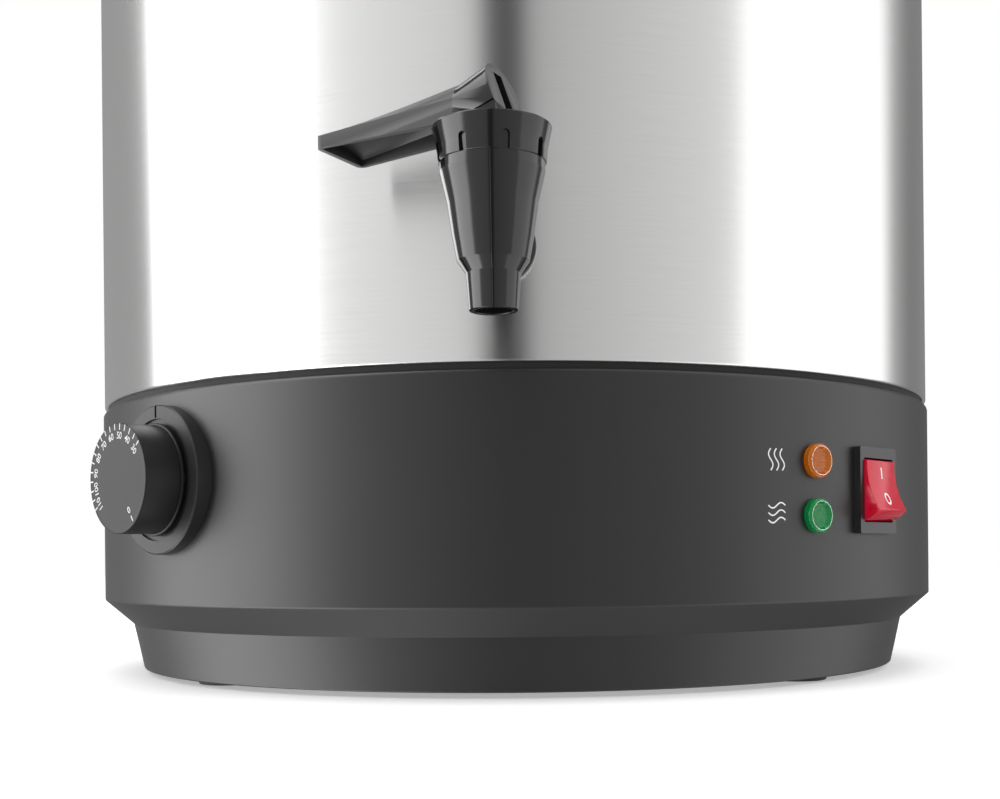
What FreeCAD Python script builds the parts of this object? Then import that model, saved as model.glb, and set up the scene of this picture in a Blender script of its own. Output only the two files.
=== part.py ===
"""Electric hot water urn: double-walled steel body on a moulded base, with a lever tap,
a dial thermostat, two signal lamps, a lit rocker switch, two bow handles and a lift-off lid.

Millimetres. Z is up, the origin is on the floor at the body's axis, and the tap faces -Y.
Parts on the wall are drawn facing along the local Z axis, with local X to the right and
local Y up, and are then turned out to their angle from the tap, positive to the right."""

import FreeCAD, Part
import math
import os

V = FreeCAD.Vector
ORIGIN = V(0, 0, 0)
ALONG_X = V(1, 0, 0)
ALONG_Y = V(0, 1, 0)
UP = V(0, 0, 1)

# Clearances
RUNNING = 0.05
THREAD_GAP = 0.05
MOVING_GAP = 0.3
SEAT_GAP = 0.08

# Base housing
BODY_RADIUS = 180.0
FLOOR_GAP = 2.0
PLINTH_HEIGHT = 18.8
PLINTH_STEP = 11.5
PLINTH_DRAFT = 4.1
CHAMFER_HEIGHT = 10.2
BAND_HEIGHT = 77.0
BAND_EDGE = 1.6
HOUSING_WALL = 3.0
LEDGE_WIDTH = 16.0
SEAM_GAP = 2.0
SEAM_DEPTH = 1.4

# Underside
PLATE_THICKNESS = 1.2
PLATE_RECESS = 1.0
PLATE_MARGIN = 0.5
FOOT_COUNT = 4
FOOT_ANGLE = 47.0
FOOT_INSET = 17.4
FOOT_RADIUS = 12.0
FOOT_WELL_DEPTH = 3.0
FOOT_WELL_MARGIN = 1.2
BOSS_RADIUS = 6.0
BOSS_HEIGHT = 24.0
BOSS_RIB = 3.0
VENT_COUNT = 16
VENT_LENGTH = 26.0
VENT_WIDTH = 4.0
VENT_RING = 78.0

# Screws
BASE_SCREW_RADIUS = 2.0
BASE_SCREW_GRIP = 16.0
JACKET_SCREW_RADIUS = 1.8
JACKET_SCREW_COUNT = 6
HEAD_RATIO = 1.9
HEAD_HEIGHT = 2.2

# Steel jacket, tank and collar
JACKET_STEP = 0.6
JACKET_HEIGHT = 310.0
JACKET_SHEET = 0.7
JACKET_FLANGE = 10.0
TANK_RADIUS = 152.0
TANK_SHEET = 0.8
TANK_FLOOR_RISE = 18.0
TANK_CORNER = 8.0
TANK_FLANGE = 22.0
COLLAR_WALL = 2.2
COLLAR_GRIP = 6.0
COLLAR_RISE = 12.0
COLLAR_EDGE = 2.0
COLLAR_STEP = 4.5

# Lid
LID_SHEET = 0.8
LID_OVERHANG = 3.0
LID_LOCATOR_DEPTH = 7.0
LID_LOCATOR_GAP = 1.0
LID_CHANNEL = 7.0
LID_DOME_HEIGHT = 26.0
LID_CROWN_RADIUS = 30.0
LID_VENT_RADIUS = 2.5
LID_VENT_RING = 44.0
LID_KNOB_RADIUS = 23.0
LID_KNOB_NECK = 11.0
LID_KNOB_FOOT = 17.0
LID_KNOB_HEIGHT = 38.0
LID_SCREW_RADIUS = 2.5
LID_SCREW_GRIP = 18.0

# Side handles
HANDLE_HEIGHT = 252.0
HANDLE_REACH = 43.0
HANDLE_SPAN = 112.0
HANDLE_BAR = 17.0
HANDLE_DEPTH = 24.0
HANDLE_CORNER = 20.0
HANDLE_SCREW_RADIUS = 2.5
HANDLE_SCREW_GRIP = 14.0
BACKING_THICKNESS = 1.5
BACKING_MARGIN = 5.0

# Tap
TAP_REACH = 45.6
TAP_HEIGHT = 36.0
SHANK_RADIUS = 8.0
SHANK_BORE = 5.5
SHANK_FLANGE_RADIUS = 12.0
SHANK_FLANGE = 3.0
WASHER_THICKNESS = 2.0
TAP_NUT_ACROSS = 24.0
TAP_NUT_HEIGHT = 6.0
TAP_NUT_GAP = 0.3
TAP_NECK_RADIUS = 13.2
TAP_TOP_RADIUS = 15.2
TAP_WAIST_RADIUS = 12.9
TAP_SHOULDER_RADIUS = 10.4
TAP_TIP_TOP_RADIUS = 7.9
TAP_TIP_RADIUS = 7.15
TAP_TOP_RISE = 13.6
TAP_WAIST_RISE = 5.6
TAP_SHOULDER_DROP = 14.2
TAP_TIP_TOP_DROP = 17.8
TAP_TIP_DROP = 28.4
TAP_NECK_HEIGHT = 4.0
TAP_CHAMBER_RADIUS = 10.4
TAP_SEAT_RADIUS = 8.2
TAP_SEAT_DROP = 9.5
TAP_SEAT_HEIGHT = 3.0
TAP_OUTLET_RADIUS = 5.6
BONNET_TOP_RADIUS = 17.15
BONNET_BOTTOM_RADIUS = 15.7
BONNET_HEIGHT = 10.2
BONNET_RIM_WALL = 1.2
BONNET_WEB = 1.5
BONNET_HOLE = 4.5
NOTCH_COUNT = 8
NOTCH_ANGLE = 16.0
NOTCH_WIDTH = 2.4
NOTCH_HEIGHT = 5.8
NOTCH_DEPTH = 1.0
CUP_FLANGE = 1.2
CUP_RADIUS = 6.9
CUP_WALL = 1.3
THRUST_WASHER_RADIUS = 13.4
THRUST_WASHER_THICKNESS = 1.0
BLADE_THICKNESS = 4.0
BLADE_WIDTH = 6.4
STEM_RADIUS = 3.0
PIN_RADIUS = 1.25

# Tap lever: a cam head on a hollow handle, seen from the side with the flat to the right
LEVER_SWING = 27.0
CAM_REST = 4.0
CAM_LIFT = 2.3
CAM_TURN = 110.0
HEAD_RADIUS = 9.2
HEAD_TOP = 14.9
HEAD_LENGTH = 8.0
HEAD_BACK_RISE = 12.0
HANDLE_ROOT_WIDTH = 16.8
HANDLE_END_WIDTH = 23.6
HANDLE_CORNER_ROUND = 2.2
LEVER_LENGTH = 54.0
LEVER_END_RISE = 3.2
LEVER_UNDERSIDE = -0.7
LEVER_END_UNDERSIDE = -2.2
ROOT_CROWN = 6.2
END_CROWN = 1.9
LEVER_WALL = 1.6
LEVER_ROOF = 1.5
HOLLOW_START = 5.0
SLOT_CLEARANCE = 0.3
SLOT_END = 3.0

# Dial thermostat
DIAL_ANGLE = -42.8
DIAL_RISE = 45.0
ESCUTCHEON_RADIUS = 26.8
ESCUTCHEON_RISE = 4.1
ESCUTCHEON_LIP = 1.0
INDEX_LENGTH = 4.6
INDEX_WIDTH = 1.2
INDEX_DEPTH = 1.0
KNOB_RADIUS = 19.9
KNOB_HEIGHT = 14.6
KNOB_GAP = 0.6
KNOB_FLANGE = 1.2
KNOB_FLANGE_STEP = 0.8
KNOB_RIBS = 96
KNOB_RIB_DEPTH = 0.5
SPINDLE_RADIUS = 3.0
SPINDLE_FLAT = 1.6
SPINDLE_ENGAGEMENT = 10.0
BUSHING_RADIUS = 5.0
PAD_DEPTH = 7.0
PAD_SIZE = 42.0
THERMOSTAT_SIZE = 36.0
THERMOSTAT_DEPTH = 26.0
THERMOSTAT_SCREW_PITCH = 28.0
THERMOSTAT_SCREW_RADIUS = 2.0
THERMOSTAT_SCREW_GRIP = 6.0

# Sensor under the tank
BULB_RADIUS = 3.0
BULB_LENGTH = 38.0
BULB_START = 74.0
CAPILLARY_RADIUS = 0.9
CAPILLARY_BEND = 9.0
CAPILLARY_RUN = 14.0
CLIP_WIDTH = 8.0
CLIP_SHEET = 0.8
CLIP_EAR = 6.0

# Heater and its shield
HEATER_RADIUS = 66.0
HEATER_THICKNESS = 6.0
ELEMENT_RADIUS = 3.6
ELEMENT_RING = 50.0
ELEMENT_GAP_ANGLE = 36.0
ELEMENT_TAIL = 14.0
ELEMENT_SINK = 2.6
CUTOUT_RADIUS = 8.5
CUTOUT_HEIGHT = 7.0
SHIELD_SHEET = 0.6
SHIELD_DEPTH = 9.0
SHIELD_SIDE = 9.0

# Signal lamps and rocker switch
LAMP_ANGLE = 36.6
LAMP_RISE = 39.0
LAMP_PITCH = 18.9
LENS_RADIUS = 6.0
LENS_RISE = 3.0
LENS_EDGE = 1.3
LENS_FACE_RADIUS = 4.4
LENS_FACE_DEPTH = 0.8
LAMP_BARREL = 5.0
LAMP_LENGTH = 26.0
LAMP_CLIP_RADIUS = 8.0
LAMP_CLIP_SHEET = 1.6
SWITCH_ANGLE = 47.4
SWITCH_RISE = 39.0
BEZEL_WIDTH = 25.6
BEZEL_HEIGHT = 31.0
BEZEL_RISE = 2.3
BEZEL_EDGE = 0.8
SWITCH_BODY_WIDTH = 22.0
SWITCH_BODY_HEIGHT = 28.0
SWITCH_BODY_DEPTH = 24.0
ROCKER_WIDTH = 19.8
ROCKER_RADIUS = 11.2
ROCKER_TIP_ANGLE = 55.0
ROCKER_TILT = 15.0
ROCKER_HOLLOW = 1.4
ROCKER_PIVOT_DEPTH = 2.8
ROCKER_ROOT = 6.5
TRUNNION_RADIUS = 1.5
TRUNNION_LENGTH = 0.8
SPADE_WIDTH = 6.3
SPADE_THICKNESS = 0.8
SPADE_LENGTH = 8.0
SPADE_PITCH_X = 10.0
SPADE_PITCH_Y = 13.0

# Cable gland and terminal block
GLAND_RISE = 32.0
GLAND_THREAD = 8.0
GLAND_BORE = 4.0
GLAND_ACROSS = 22.0
GLAND_HEX = 6.0
GLAND_DOME = 9.0
GLAND_NUT_HEIGHT = 5.0
GLAND_TAIL = 10.0
TERMINAL_LENGTH = 44.0
TERMINAL_WIDTH = 20.0
TERMINAL_HEIGHT = 16.0
TERMINAL_SET_BACK = 98.0
TERMINAL_POLES = 4
TERMINAL_SCREW_RADIUS = 1.8

# Heights and radii that follow
plinth_bottom = FLOOR_GAP
plinth_top = plinth_bottom + PLINTH_HEIGHT
band_bottom = plinth_top + CHAMFER_HEIGHT
band_top = band_bottom + BAND_HEIGHT
plinth_radius = BODY_RADIUS - PLINTH_STEP
plinth_foot_radius = plinth_radius - PLINTH_DRAFT
housing_inside = BODY_RADIUS - HOUSING_WALL
ledge_radius = BODY_RADIUS - LEDGE_WIDTH
ledge_bottom = band_top - HOUSING_WALL
plate_bottom = plinth_bottom + PLATE_RECESS
plate_top = plate_bottom + PLATE_THICKNESS
plate_radius = plinth_foot_radius - HOUSING_WALL - PLATE_MARGIN
well_top = plate_bottom + FOOT_WELL_DEPTH
foot_ring = plinth_foot_radius - FOOT_INSET
foot_angles = [side * FOOT_ANGLE + turn for turn in (0, 180) for side in (1, -1)]
jacket_radius = BODY_RADIUS - JACKET_STEP
jacket_bottom = band_top + SEAM_GAP
jacket_top = jacket_bottom + JACKET_HEIGHT
jacket_screw_ring = ledge_radius + LEDGE_WIDTH * 0.45
tank_floor = jacket_bottom + TANK_FLOOR_RISE
tank_underside = tank_floor - TANK_SHEET
tank_rim = jacket_top + COLLAR_RISE
lid_seat = tank_rim + TANK_SHEET
tap_axis_height = tank_floor + TAP_HEIGHT - TANK_FLOOR_RISE
tap_distance = jacket_radius + TAP_REACH
bonnet_bottom = tap_axis_height + TAP_TOP_RISE
bonnet_top = bonnet_bottom + BONNET_HEIGHT
neck_top = bonnet_bottom + TAP_NECK_HEIGHT
web_bottom = neck_top + CUP_FLANGE
web_top = web_bottom + BONNET_WEB
thrust_top = web_top + THRUST_WASHER_THICKNESS
pin_height = thrust_top + CAM_REST + MOVING_GAP
cam_rate = CAM_LIFT / math.radians(CAM_TURN)
dial_height = band_bottom + DIAL_RISE
escutcheon_face = BODY_RADIUS + ESCUTCHEON_RISE
knob_back = escutcheon_face + KNOB_GAP
knob_face = knob_back + KNOB_HEIGHT
pad_face = BODY_RADIUS - HOUSING_WALL - PAD_DEPTH + 1.0
lamp_height = band_bottom + LAMP_RISE
switch_height = band_bottom + SWITCH_RISE
bezel_face = BODY_RADIUS + BEZEL_RISE
rocker_pivot = bezel_face - ROCKER_PIVOT_DEPTH
heater_bottom = tank_underside - HEATER_THICKNESS
shield_top = ledge_bottom
gland_height = band_bottom + GLAND_RISE
handle_height = jacket_bottom + HANDLE_HEIGHT


def cylinder(radius, bottom, top, x=0.0, y=0.0):
    return Part.makeCylinder(radius, top - bottom, V(x, y, bottom))


def tube(outer, inner, bottom, top):
    return cylinder(outer, bottom, top).cut(cylinder(inner, bottom - 1, top + 1))


def block(width, height, back, front):
    """A box centred on the local Z axis, reaching from back to front along it."""
    return Part.makeBox(width, height, front - back, V(-width / 2, -height / 2, back))


def corner_edges(corners, closed):
    """Lines through (x, z, radius) corners, each rounded by a tangent arc of its radius."""
    points = [V(x, 0, z) for x, z, _ in corners]
    count = len(points)
    stops = []
    for i, (_, _, radius) in enumerate(corners):
        here = points[i]
        at_end = not closed and i in (0, count - 1)
        if at_end or radius == 0:
            stops.append((here, here, None))
            continue
        back = (points[i - 1] - here).normalize()
        ahead = (points[(i + 1) % count] - here).normalize()
        half = back.getAngle(ahead) / 2
        setback = radius / math.tan(half)
        middle = here + (back + ahead).normalize() * (radius / math.sin(half) - radius)
        stops.append((here + back * setback, here + ahead * setback, middle))
    edges = []
    for i, (start, end, middle) in enumerate(stops):
        if middle is not None:
            edges.append(Part.Arc(start, middle, end).toShape())
        follows = stops[(i + 1) % count][0]
        if (closed or i < count - 1) and end.distanceToPoint(follows) > 1e-6:
            edges.append(Part.LineSegment(end, follows).toShape())
    return edges


def outline(corners):
    return Part.Face(Part.Wire(corner_edges(corners, True)))


def revolved(corners):
    return outline(corners).revolve(ORIGIN, UP, 360)


def pressed_sheet(corners, thickness):
    """Sheet metal turned about the axis; it lies below and outside the line given."""
    path = Part.Wire(corner_edges(corners, False))
    return path.makeOffset2D(-thickness, 0, True, True).revolve(ORIGIN, UP, 360)


def regular_prism(across, sides, bottom, top):
    radius = across / 2 / math.cos(math.pi / sides)
    turns = [2 * math.pi * i / sides for i in range(sides + 1)]
    points = [V(radius * math.cos(a), radius * math.sin(a), bottom) for a in turns]
    return Part.Face(Part.makePolygon(points)).extrude(UP * (top - bottom))


def turned(shape, angle, axis=UP, centre=ORIGIN):
    copy = shape.copy()
    copy.rotate(centre, axis, angle)
    return copy


def moved(shape, x=0.0, y=0.0, z=0.0):
    copy = shape.copy()
    copy.translate(V(x, y, z))
    return copy


def on_wall(shape, height, angle):
    """Turns a part drawn along the local Z axis out to its height and angle on the body."""
    return turned(moved(turned(shape, 90, ALONG_X), z=height), angle)


def around(shape, angles):
    return Part.makeCompound([turned(shape, angle) for angle in angles])


def pan_screw(radius, grip, head_height=HEAD_HEIGHT):
    """Screw with its shank up along Z from the seat at zero, and a pan head below it."""
    head = cylinder(radius * HEAD_RATIO, -head_height, 0)
    rim = [edge for edge in head.Edges if abs(edge.CenterOfMass.z + head_height) < 1e-6]
    return head.makeFillet(head_height * 0.45, rim).fuse(cylinder(radius, 0, grip))


def bent_tube(points, radius, bend):
    """Round bar along straight runs joined by tangent arcs of one radius."""
    edges = []
    start = points[0]
    for before, here, after in zip(points, points[1:], points[2:]):
        back = (before - here).normalize()
        ahead = (after - here).normalize()
        half = back.getAngle(ahead) / 2
        setback = bend / math.tan(half)
        middle = here + (back + ahead).normalize() * (bend / math.sin(half) - bend)
        edges.append(Part.LineSegment(start, here + back * setback).toShape())
        arc = Part.Arc(here + back * setback, middle, here + ahead * setback)
        edges.append(arc.toShape())
        start = here + ahead * setback
    edges.append(Part.LineSegment(start, points[-1]).toShape())
    section = Part.Wire(Part.Circle(points[0], points[1] - points[0], radius).toShape())
    return Part.Wire(edges).makePipeShell([section], True, True)


def base_housing():
    shell = revolved([
        (plinth_foot_radius, plinth_bottom, 0.8),
        (plinth_radius, plinth_top, 0),
        (BODY_RADIUS, band_bottom, 1.2),
        (BODY_RADIUS, band_top, BAND_EDGE),
        (ledge_radius, band_top, 0),
        (ledge_radius, ledge_bottom, 0),
        (housing_inside, ledge_bottom, 0),
        (housing_inside, band_bottom + HOUSING_WALL, 0),
        (plinth_radius - HOUSING_WALL, plinth_top + HOUSING_WALL, 0),
        (plinth_foot_radius - HOUSING_WALL, plinth_bottom, 0),
    ])
    boss_bottom = well_top + PLATE_THICKNESS
    boss = cylinder(BOSS_RADIUS, boss_bottom, boss_bottom + BOSS_HEIGHT, y=-foot_ring)
    reach = plinth_foot_radius - HOUSING_WALL / 2 - foot_ring
    rib = Part.makeBox(BOSS_RIB, reach, PLINTH_HEIGHT * 0.6,
                       V(-BOSS_RIB / 2, -foot_ring - reach, boss_bottom + 2))
    pilot = cylinder(BASE_SCREW_RADIUS + THREAD_GAP, boss_bottom - 1,
                     boss_bottom + BASE_SCREW_GRIP + 1, y=-foot_ring)
    mount = boss.fuse(rib.common(cylinder(plinth_radius - 1, 0, band_top))).cut(pilot)
    shell = shell.fuse([turned(mount, angle) for angle in foot_angles])
    pad = block(PAD_SIZE, PAD_SIZE, pad_face, BODY_RADIUS - HOUSING_WALL / 2)
    pad = on_wall(pad, dial_height, DIAL_ANGLE).common(cylinder(BODY_RADIUS - 1, 0, band_top))
    shell = shell.fuse(pad)
    holes = [on_wall(cylinder(BUSHING_RADIUS + MOVING_GAP, pad_face - 5, BODY_RADIUS + 5),
                     dial_height, DIAL_ANGLE)]
    for side in (-1, 1):
        hole = cylinder(THERMOSTAT_SCREW_RADIUS + THREAD_GAP, pad_face - 5,
                        BODY_RADIUS + 5, x=side * THERMOSTAT_SCREW_PITCH / 2)
        holes.append(on_wall(hole, dial_height, DIAL_ANGLE))
    for height in lamp_heights():
        hole = cylinder(LAMP_BARREL + THREAD_GAP, housing_inside - 9, BODY_RADIUS + 5)
        holes.append(on_wall(hole, height, LAMP_ANGLE))
    opening = block(SWITCH_BODY_WIDTH + 2 * THREAD_GAP, SWITCH_BODY_HEIGHT + 2 * THREAD_GAP,
                    housing_inside - 9, BODY_RADIUS + 5)
    holes.append(on_wall(opening, switch_height, SWITCH_ANGLE))
    holes.append(on_wall(cylinder(GLAND_THREAD + THREAD_GAP, housing_inside - 9,
                                  BODY_RADIUS + 5), gland_height, 180))
    holes += jacket_screw_holes(ledge_bottom - 1, band_top + 1)
    return shell.cut(holes)


def lamp_heights():
    middle = lamp_height
    return middle + LAMP_PITCH / 2, middle - LAMP_PITCH / 2


def jacket_screw_holes(bottom, top):
    hole = cylinder(JACKET_SCREW_RADIUS + THREAD_GAP, bottom, top, y=-jacket_screw_ring)
    step = 360 / JACKET_SCREW_COUNT
    return [turned(hole, step * (i + 0.5)) for i in range(JACKET_SCREW_COUNT)]


def base_plate():
    well_radius = FOOT_RADIUS + FOOT_WELL_MARGIN
    disc = cylinder(plate_radius, plate_bottom, plate_top)
    cup = cylinder(well_radius + PLATE_THICKNESS, plate_bottom, well_top + PLATE_THICKNESS,
                   y=-foot_ring)
    dip = cylinder(well_radius, plate_bottom - 1, well_top, y=-foot_ring)
    hole = cylinder(BASE_SCREW_RADIUS + THREAD_GAP, 0, band_bottom, y=-foot_ring)
    disc = disc.fuse([turned(cup, angle) for angle in foot_angles])
    disc = disc.cut([turned(dip.fuse(hole), angle) for angle in foot_angles])
    vent = Part.makeBox(VENT_LENGTH, VENT_WIDTH, PLATE_THICKNESS + 2,
                        V(VENT_RING, -VENT_WIDTH / 2, plate_bottom - 1))
    ends = [cylinder(VENT_WIDTH / 2, plate_bottom - 1, plate_top + 1, x=VENT_RING + end)
            for end in (0, VENT_LENGTH)]
    vent = vent.fuse(ends)
    step = 360 / VENT_COUNT
    return disc.cut([turned(vent, step * (i + 0.5)) for i in range(VENT_COUNT)])


def rubber_feet():
    foot = revolved([
        (BASE_SCREW_RADIUS + THREAD_GAP, well_top, 0),
        (FOOT_RADIUS, well_top, 0),
        (FOOT_RADIUS, 0, 0.8),
        (BASE_SCREW_RADIUS * HEAD_RATIO + 1.2, 0, 0),
        (BASE_SCREW_RADIUS * HEAD_RATIO + 1.2, well_top / 2, 0),
        (BASE_SCREW_RADIUS + THREAD_GAP, well_top / 2, 0),
    ])
    return around(moved(foot, y=-foot_ring), foot_angles)


def base_screws():
    seat = well_top / 2
    grip = well_top + PLATE_THICKNESS + BASE_SCREW_GRIP - seat
    screw = moved(pan_screw(BASE_SCREW_RADIUS, grip), y=-foot_ring, z=seat)
    return around(screw, foot_angles)


def seam_gasket():
    ring = tube(jacket_radius - SEAM_DEPTH, ledge_radius, band_top, jacket_bottom)
    return ring.cut(jacket_screw_holes(band_top - 1, jacket_bottom + 1))


def outer_jacket():
    """Brushed steel sheet, rolled round, with a flange turned in at its bottom edge."""
    shell = pressed_sheet([
        (jacket_radius - JACKET_FLANGE, jacket_bottom + JACKET_SHEET, 0),
        (jacket_radius - JACKET_SHEET, jacket_bottom + JACKET_SHEET, 0.6),
        (jacket_radius - JACKET_SHEET, jacket_top, 0),
    ], JACKET_SHEET)
    holes = jacket_screw_holes(jacket_bottom - 1, jacket_bottom + 3)
    holes.append(shank_hole())
    holes += handle_screw_holes(HANDLE_SCREW_RADIUS + THREAD_GAP)
    return shell.cut(holes)


def jacket_screws():
    seat = shield_top - SHIELD_SHEET
    screw = moved(pan_screw(JACKET_SCREW_RADIUS, jacket_bottom + 2.5 - seat),
                  y=-jacket_screw_ring, z=seat)
    step = 360 / JACKET_SCREW_COUNT
    return around(screw, [step * (i + 0.5) for i in range(JACKET_SCREW_COUNT)])


def heat_shield():
    """Shallow steel dish under the heater, held below the ledge by the jacket's screws."""
    rim = housing_inside - 0.6
    depth = shield_top - SHIELD_SHEET - SHIELD_DEPTH
    side = ledge_radius - SHIELD_SIDE
    dish = pressed_sheet([
        (0, depth + SHIELD_SHEET, 0),
        (side - SHIELD_DEPTH, depth + SHIELD_SHEET, 3),
        (side, shield_top, 2),
        (rim, shield_top, 0),
    ], SHIELD_SHEET)
    holes = jacket_screw_holes(shield_top - 3, shield_top + 1)
    for angle in element_tail_angles():
        tail = cylinder(ELEMENT_RADIUS + 2, depth - 5, shield_top, x=ELEMENT_RING)
        holes.append(turned(tail, angle))
    pass_through = cylinder(CAPILLARY_RADIUS + 1.5, depth - 5, shield_top, y=-capillary_drop())
    holes.append(turned(pass_through, DIAL_ANGLE))
    return dish.cut(holes)


def shank_hole():
    return on_wall(cylinder(SHANK_RADIUS + THREAD_GAP, TANK_RADIUS - 20, jacket_radius + 5),
                   tap_axis_height, 0)


def inner_tank():
    """Deep-drawn steel tank with a flange that hangs on the collar."""
    inside = TANK_RADIUS
    sheet = pressed_sheet([
        (0, tank_floor, 0),
        (inside, tank_floor, TANK_CORNER),
        (inside, lid_seat, 1.2),
        (inside + TANK_FLANGE, lid_seat, 0),
    ], TANK_SHEET)
    return sheet.cut(shank_hole())


def top_collar():
    """Moulded ring that grips the jacket's top edge and carries the tank's flange."""
    outer = jacket_radius + COLLAR_WALL
    grip = jacket_top - COLLAR_GRIP
    inner = TANK_RADIUS + TANK_SHEET + 1.0
    lip = jacket_radius - JACKET_SHEET
    land = TANK_RADIUS + TANK_FLANGE + 0.6
    web = COLLAR_STEP + COLLAR_WALL
    return revolved([
        (outer, grip, 0.8),
        (outer, tank_rim - COLLAR_STEP, COLLAR_EDGE),
        (land, tank_rim - COLLAR_STEP, 0),
        (land, tank_rim, 0.6),
        (inner, tank_rim, 0),
        (inner, tank_rim - web, 0),
        (lip - COLLAR_WALL, tank_rim - web, 0),
        (lip - COLLAR_WALL, grip, 0),
        (lip, grip, 0),
        (lip, jacket_top, 0),
        (jacket_radius, jacket_top, 0),
        (jacket_radius, grip, 0),
    ])


def lid():
    """Pressed steel lid: rolled rim, channel that drops into the tank, raised dome."""
    rim = TANK_RADIUS + TANK_FLANGE + LID_OVERHANG
    locator = TANK_RADIUS - LID_LOCATOR_GAP - LID_SHEET
    channel = locator - LID_CHANNEL
    seat = lid_seat + LID_SHEET
    low = seat - LID_LOCATOR_DEPTH
    high = seat + LID_DOME_HEIGHT
    knee = channel * 0.62
    sheet = pressed_sheet([
        (0, high, 0),
        (LID_CROWN_RADIUS, high, 40),
        (knee, high - LID_DOME_HEIGHT * 0.22, 60),
        (channel, seat, 6),
        (channel, low, 2),
        (locator, low, 2),
        (locator, seat, 1.5),
        (rim, seat, 1.2),
        (rim, seat - 3.4, 0),
    ], LID_SHEET)
    hole = cylinder(LID_SCREW_RADIUS + THREAD_GAP, low, high + 5)
    vent = cylinder(LID_VENT_RADIUS, low, high + 5, y=LID_VENT_RING)
    return sheet.cut([hole, vent])


def lid_knob():
    seat = lid_seat + LID_SHEET + LID_DOME_HEIGHT
    top = seat + LID_KNOB_HEIGHT
    body = revolved([
        (0, seat, 0),
        (LID_KNOB_FOOT, seat, 1.5),
        (LID_KNOB_FOOT, seat + 4, 1.5),
        (LID_KNOB_NECK, seat + 9, 6),
        (LID_KNOB_NECK, seat + LID_KNOB_HEIGHT * 0.5, 8),
        (LID_KNOB_RADIUS, top - 13, 4),
        (LID_KNOB_RADIUS, top - 5, 4),
        (LID_KNOB_RADIUS * 0.6, top, 10),
        (0, top, 0),
    ])
    return body.cut(cylinder(LID_SCREW_RADIUS + THREAD_GAP, seat - 1,
                             seat + LID_SCREW_GRIP + 0.5))


def lid_screw():
    seat = lid_seat + LID_DOME_HEIGHT
    return moved(pan_screw(LID_SCREW_RADIUS, LID_SHEET + LID_SCREW_GRIP), z=seat)


def handle_screw_holes(radius):
    """Straight holes along X through the jacket and into both handles."""
    holes = []
    for side in (-1, 1):
        for foot in (-1, 1):
            start = V(side * (TANK_RADIUS + 8), foot * handle_foot(), handle_height)
            length = jacket_radius + HANDLE_SCREW_GRIP - TANK_RADIUS - 8
            holes.append(Part.makeCylinder(radius, length, start, ALONG_X * side))
    return holes


def handle_foot():
    return (HANDLE_SPAN - HANDLE_BAR) / 2


def side_handle(side):
    """Bow handle: a flat bar bent round a finger gap, its feet shaped to the jacket."""
    inner = jacket_radius * 0.85
    outer = jacket_radius + HANDLE_REACH
    half = HANDLE_SPAN / 2
    bow = outline([
        (inner, -half, 0),
        (outer, -half, HANDLE_CORNER),
        (outer, half, HANDLE_CORNER),
        (inner, half, 0),
        (inner, half - HANDLE_BAR, 0),
        (outer - HANDLE_BAR, half - HANDLE_BAR, HANDLE_CORNER * 0.5),
        (outer - HANDLE_BAR, HANDLE_BAR - half, HANDLE_CORNER * 0.5),
        (inner, HANDLE_BAR - half, 0),
    ])
    bow = turned(bow, 90, ALONG_X).extrude(UP * HANDLE_DEPTH)
    bow = moved(bow, z=-HANDLE_DEPTH / 2)
    edges = [edge for edge in bow.Edges
             if abs(edge.CenterOfMass.z) > HANDLE_DEPTH * 0.49
             and edge.CenterOfMass.x > inner + 1]
    bow = bow.makeFillet(HANDLE_BAR * 0.28, edges)
    bow = turned(bow, 0 if side > 0 else 180)
    bow = moved(bow, z=handle_height)
    bow = bow.cut(cylinder(jacket_radius + SEAT_GAP, 0, lid_seat))
    return bow.cut(handle_screw_holes(HANDLE_SCREW_RADIUS + THREAD_GAP))


def handle_screws():
    screws = []
    seat = backing_plane()
    grip = jacket_radius + HANDLE_SCREW_GRIP - seat - 1
    for side in (-1, 1):
        for foot in (-1, 1):
            screw = turned(pan_screw(HANDLE_SCREW_RADIUS, grip), 90, ALONG_Y)
            screw = moved(screw, x=seat)
            screw = turned(screw, 0 if side > 0 else 180)
            screws.append(moved(screw, y=foot * handle_foot(), z=handle_height))
    return Part.makeCompound(screws)


def backing_plane():
    """Inner face of the flat backing plates that bridge the jacket's curve inside."""
    reach = handle_foot() + HANDLE_BAR / 2 + BACKING_MARGIN
    return math.sqrt((jacket_radius - JACKET_SHEET) ** 2 - reach ** 2) - BACKING_THICKNESS


def handle_backings():
    """Straps inside the jacket, one behind each handle, with saddles up to the sheet."""
    plates = []
    plane = backing_plane()
    half = handle_foot() + HANDLE_BAR / 2 + BACKING_MARGIN
    tall = HANDLE_DEPTH
    for side in (-1, 1):
        plate = Part.makeBox(BACKING_THICKNESS, 2 * half, tall, V(plane, -half, -tall / 2))
        for foot in (-1, 1):
            saddle = Part.makeBox(jacket_radius - plane, HANDLE_BAR, tall,
                                  V(plane, foot * handle_foot() - HANDLE_BAR / 2, -tall / 2))
            plate = plate.fuse(saddle)
        plate = turned(plate, 0 if side > 0 else 180)
        plate = moved(plate, z=handle_height)
        plate = plate.common(cylinder(jacket_radius - JACKET_SHEET - SEAT_GAP, 0, lid_seat))
        plates.append(plate.cut(handle_screw_holes(HANDLE_SCREW_RADIUS + THREAD_GAP)))
    return Part.makeCompound(plates)


def at_tap(shape):
    return moved(shape, y=-tap_distance)


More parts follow.
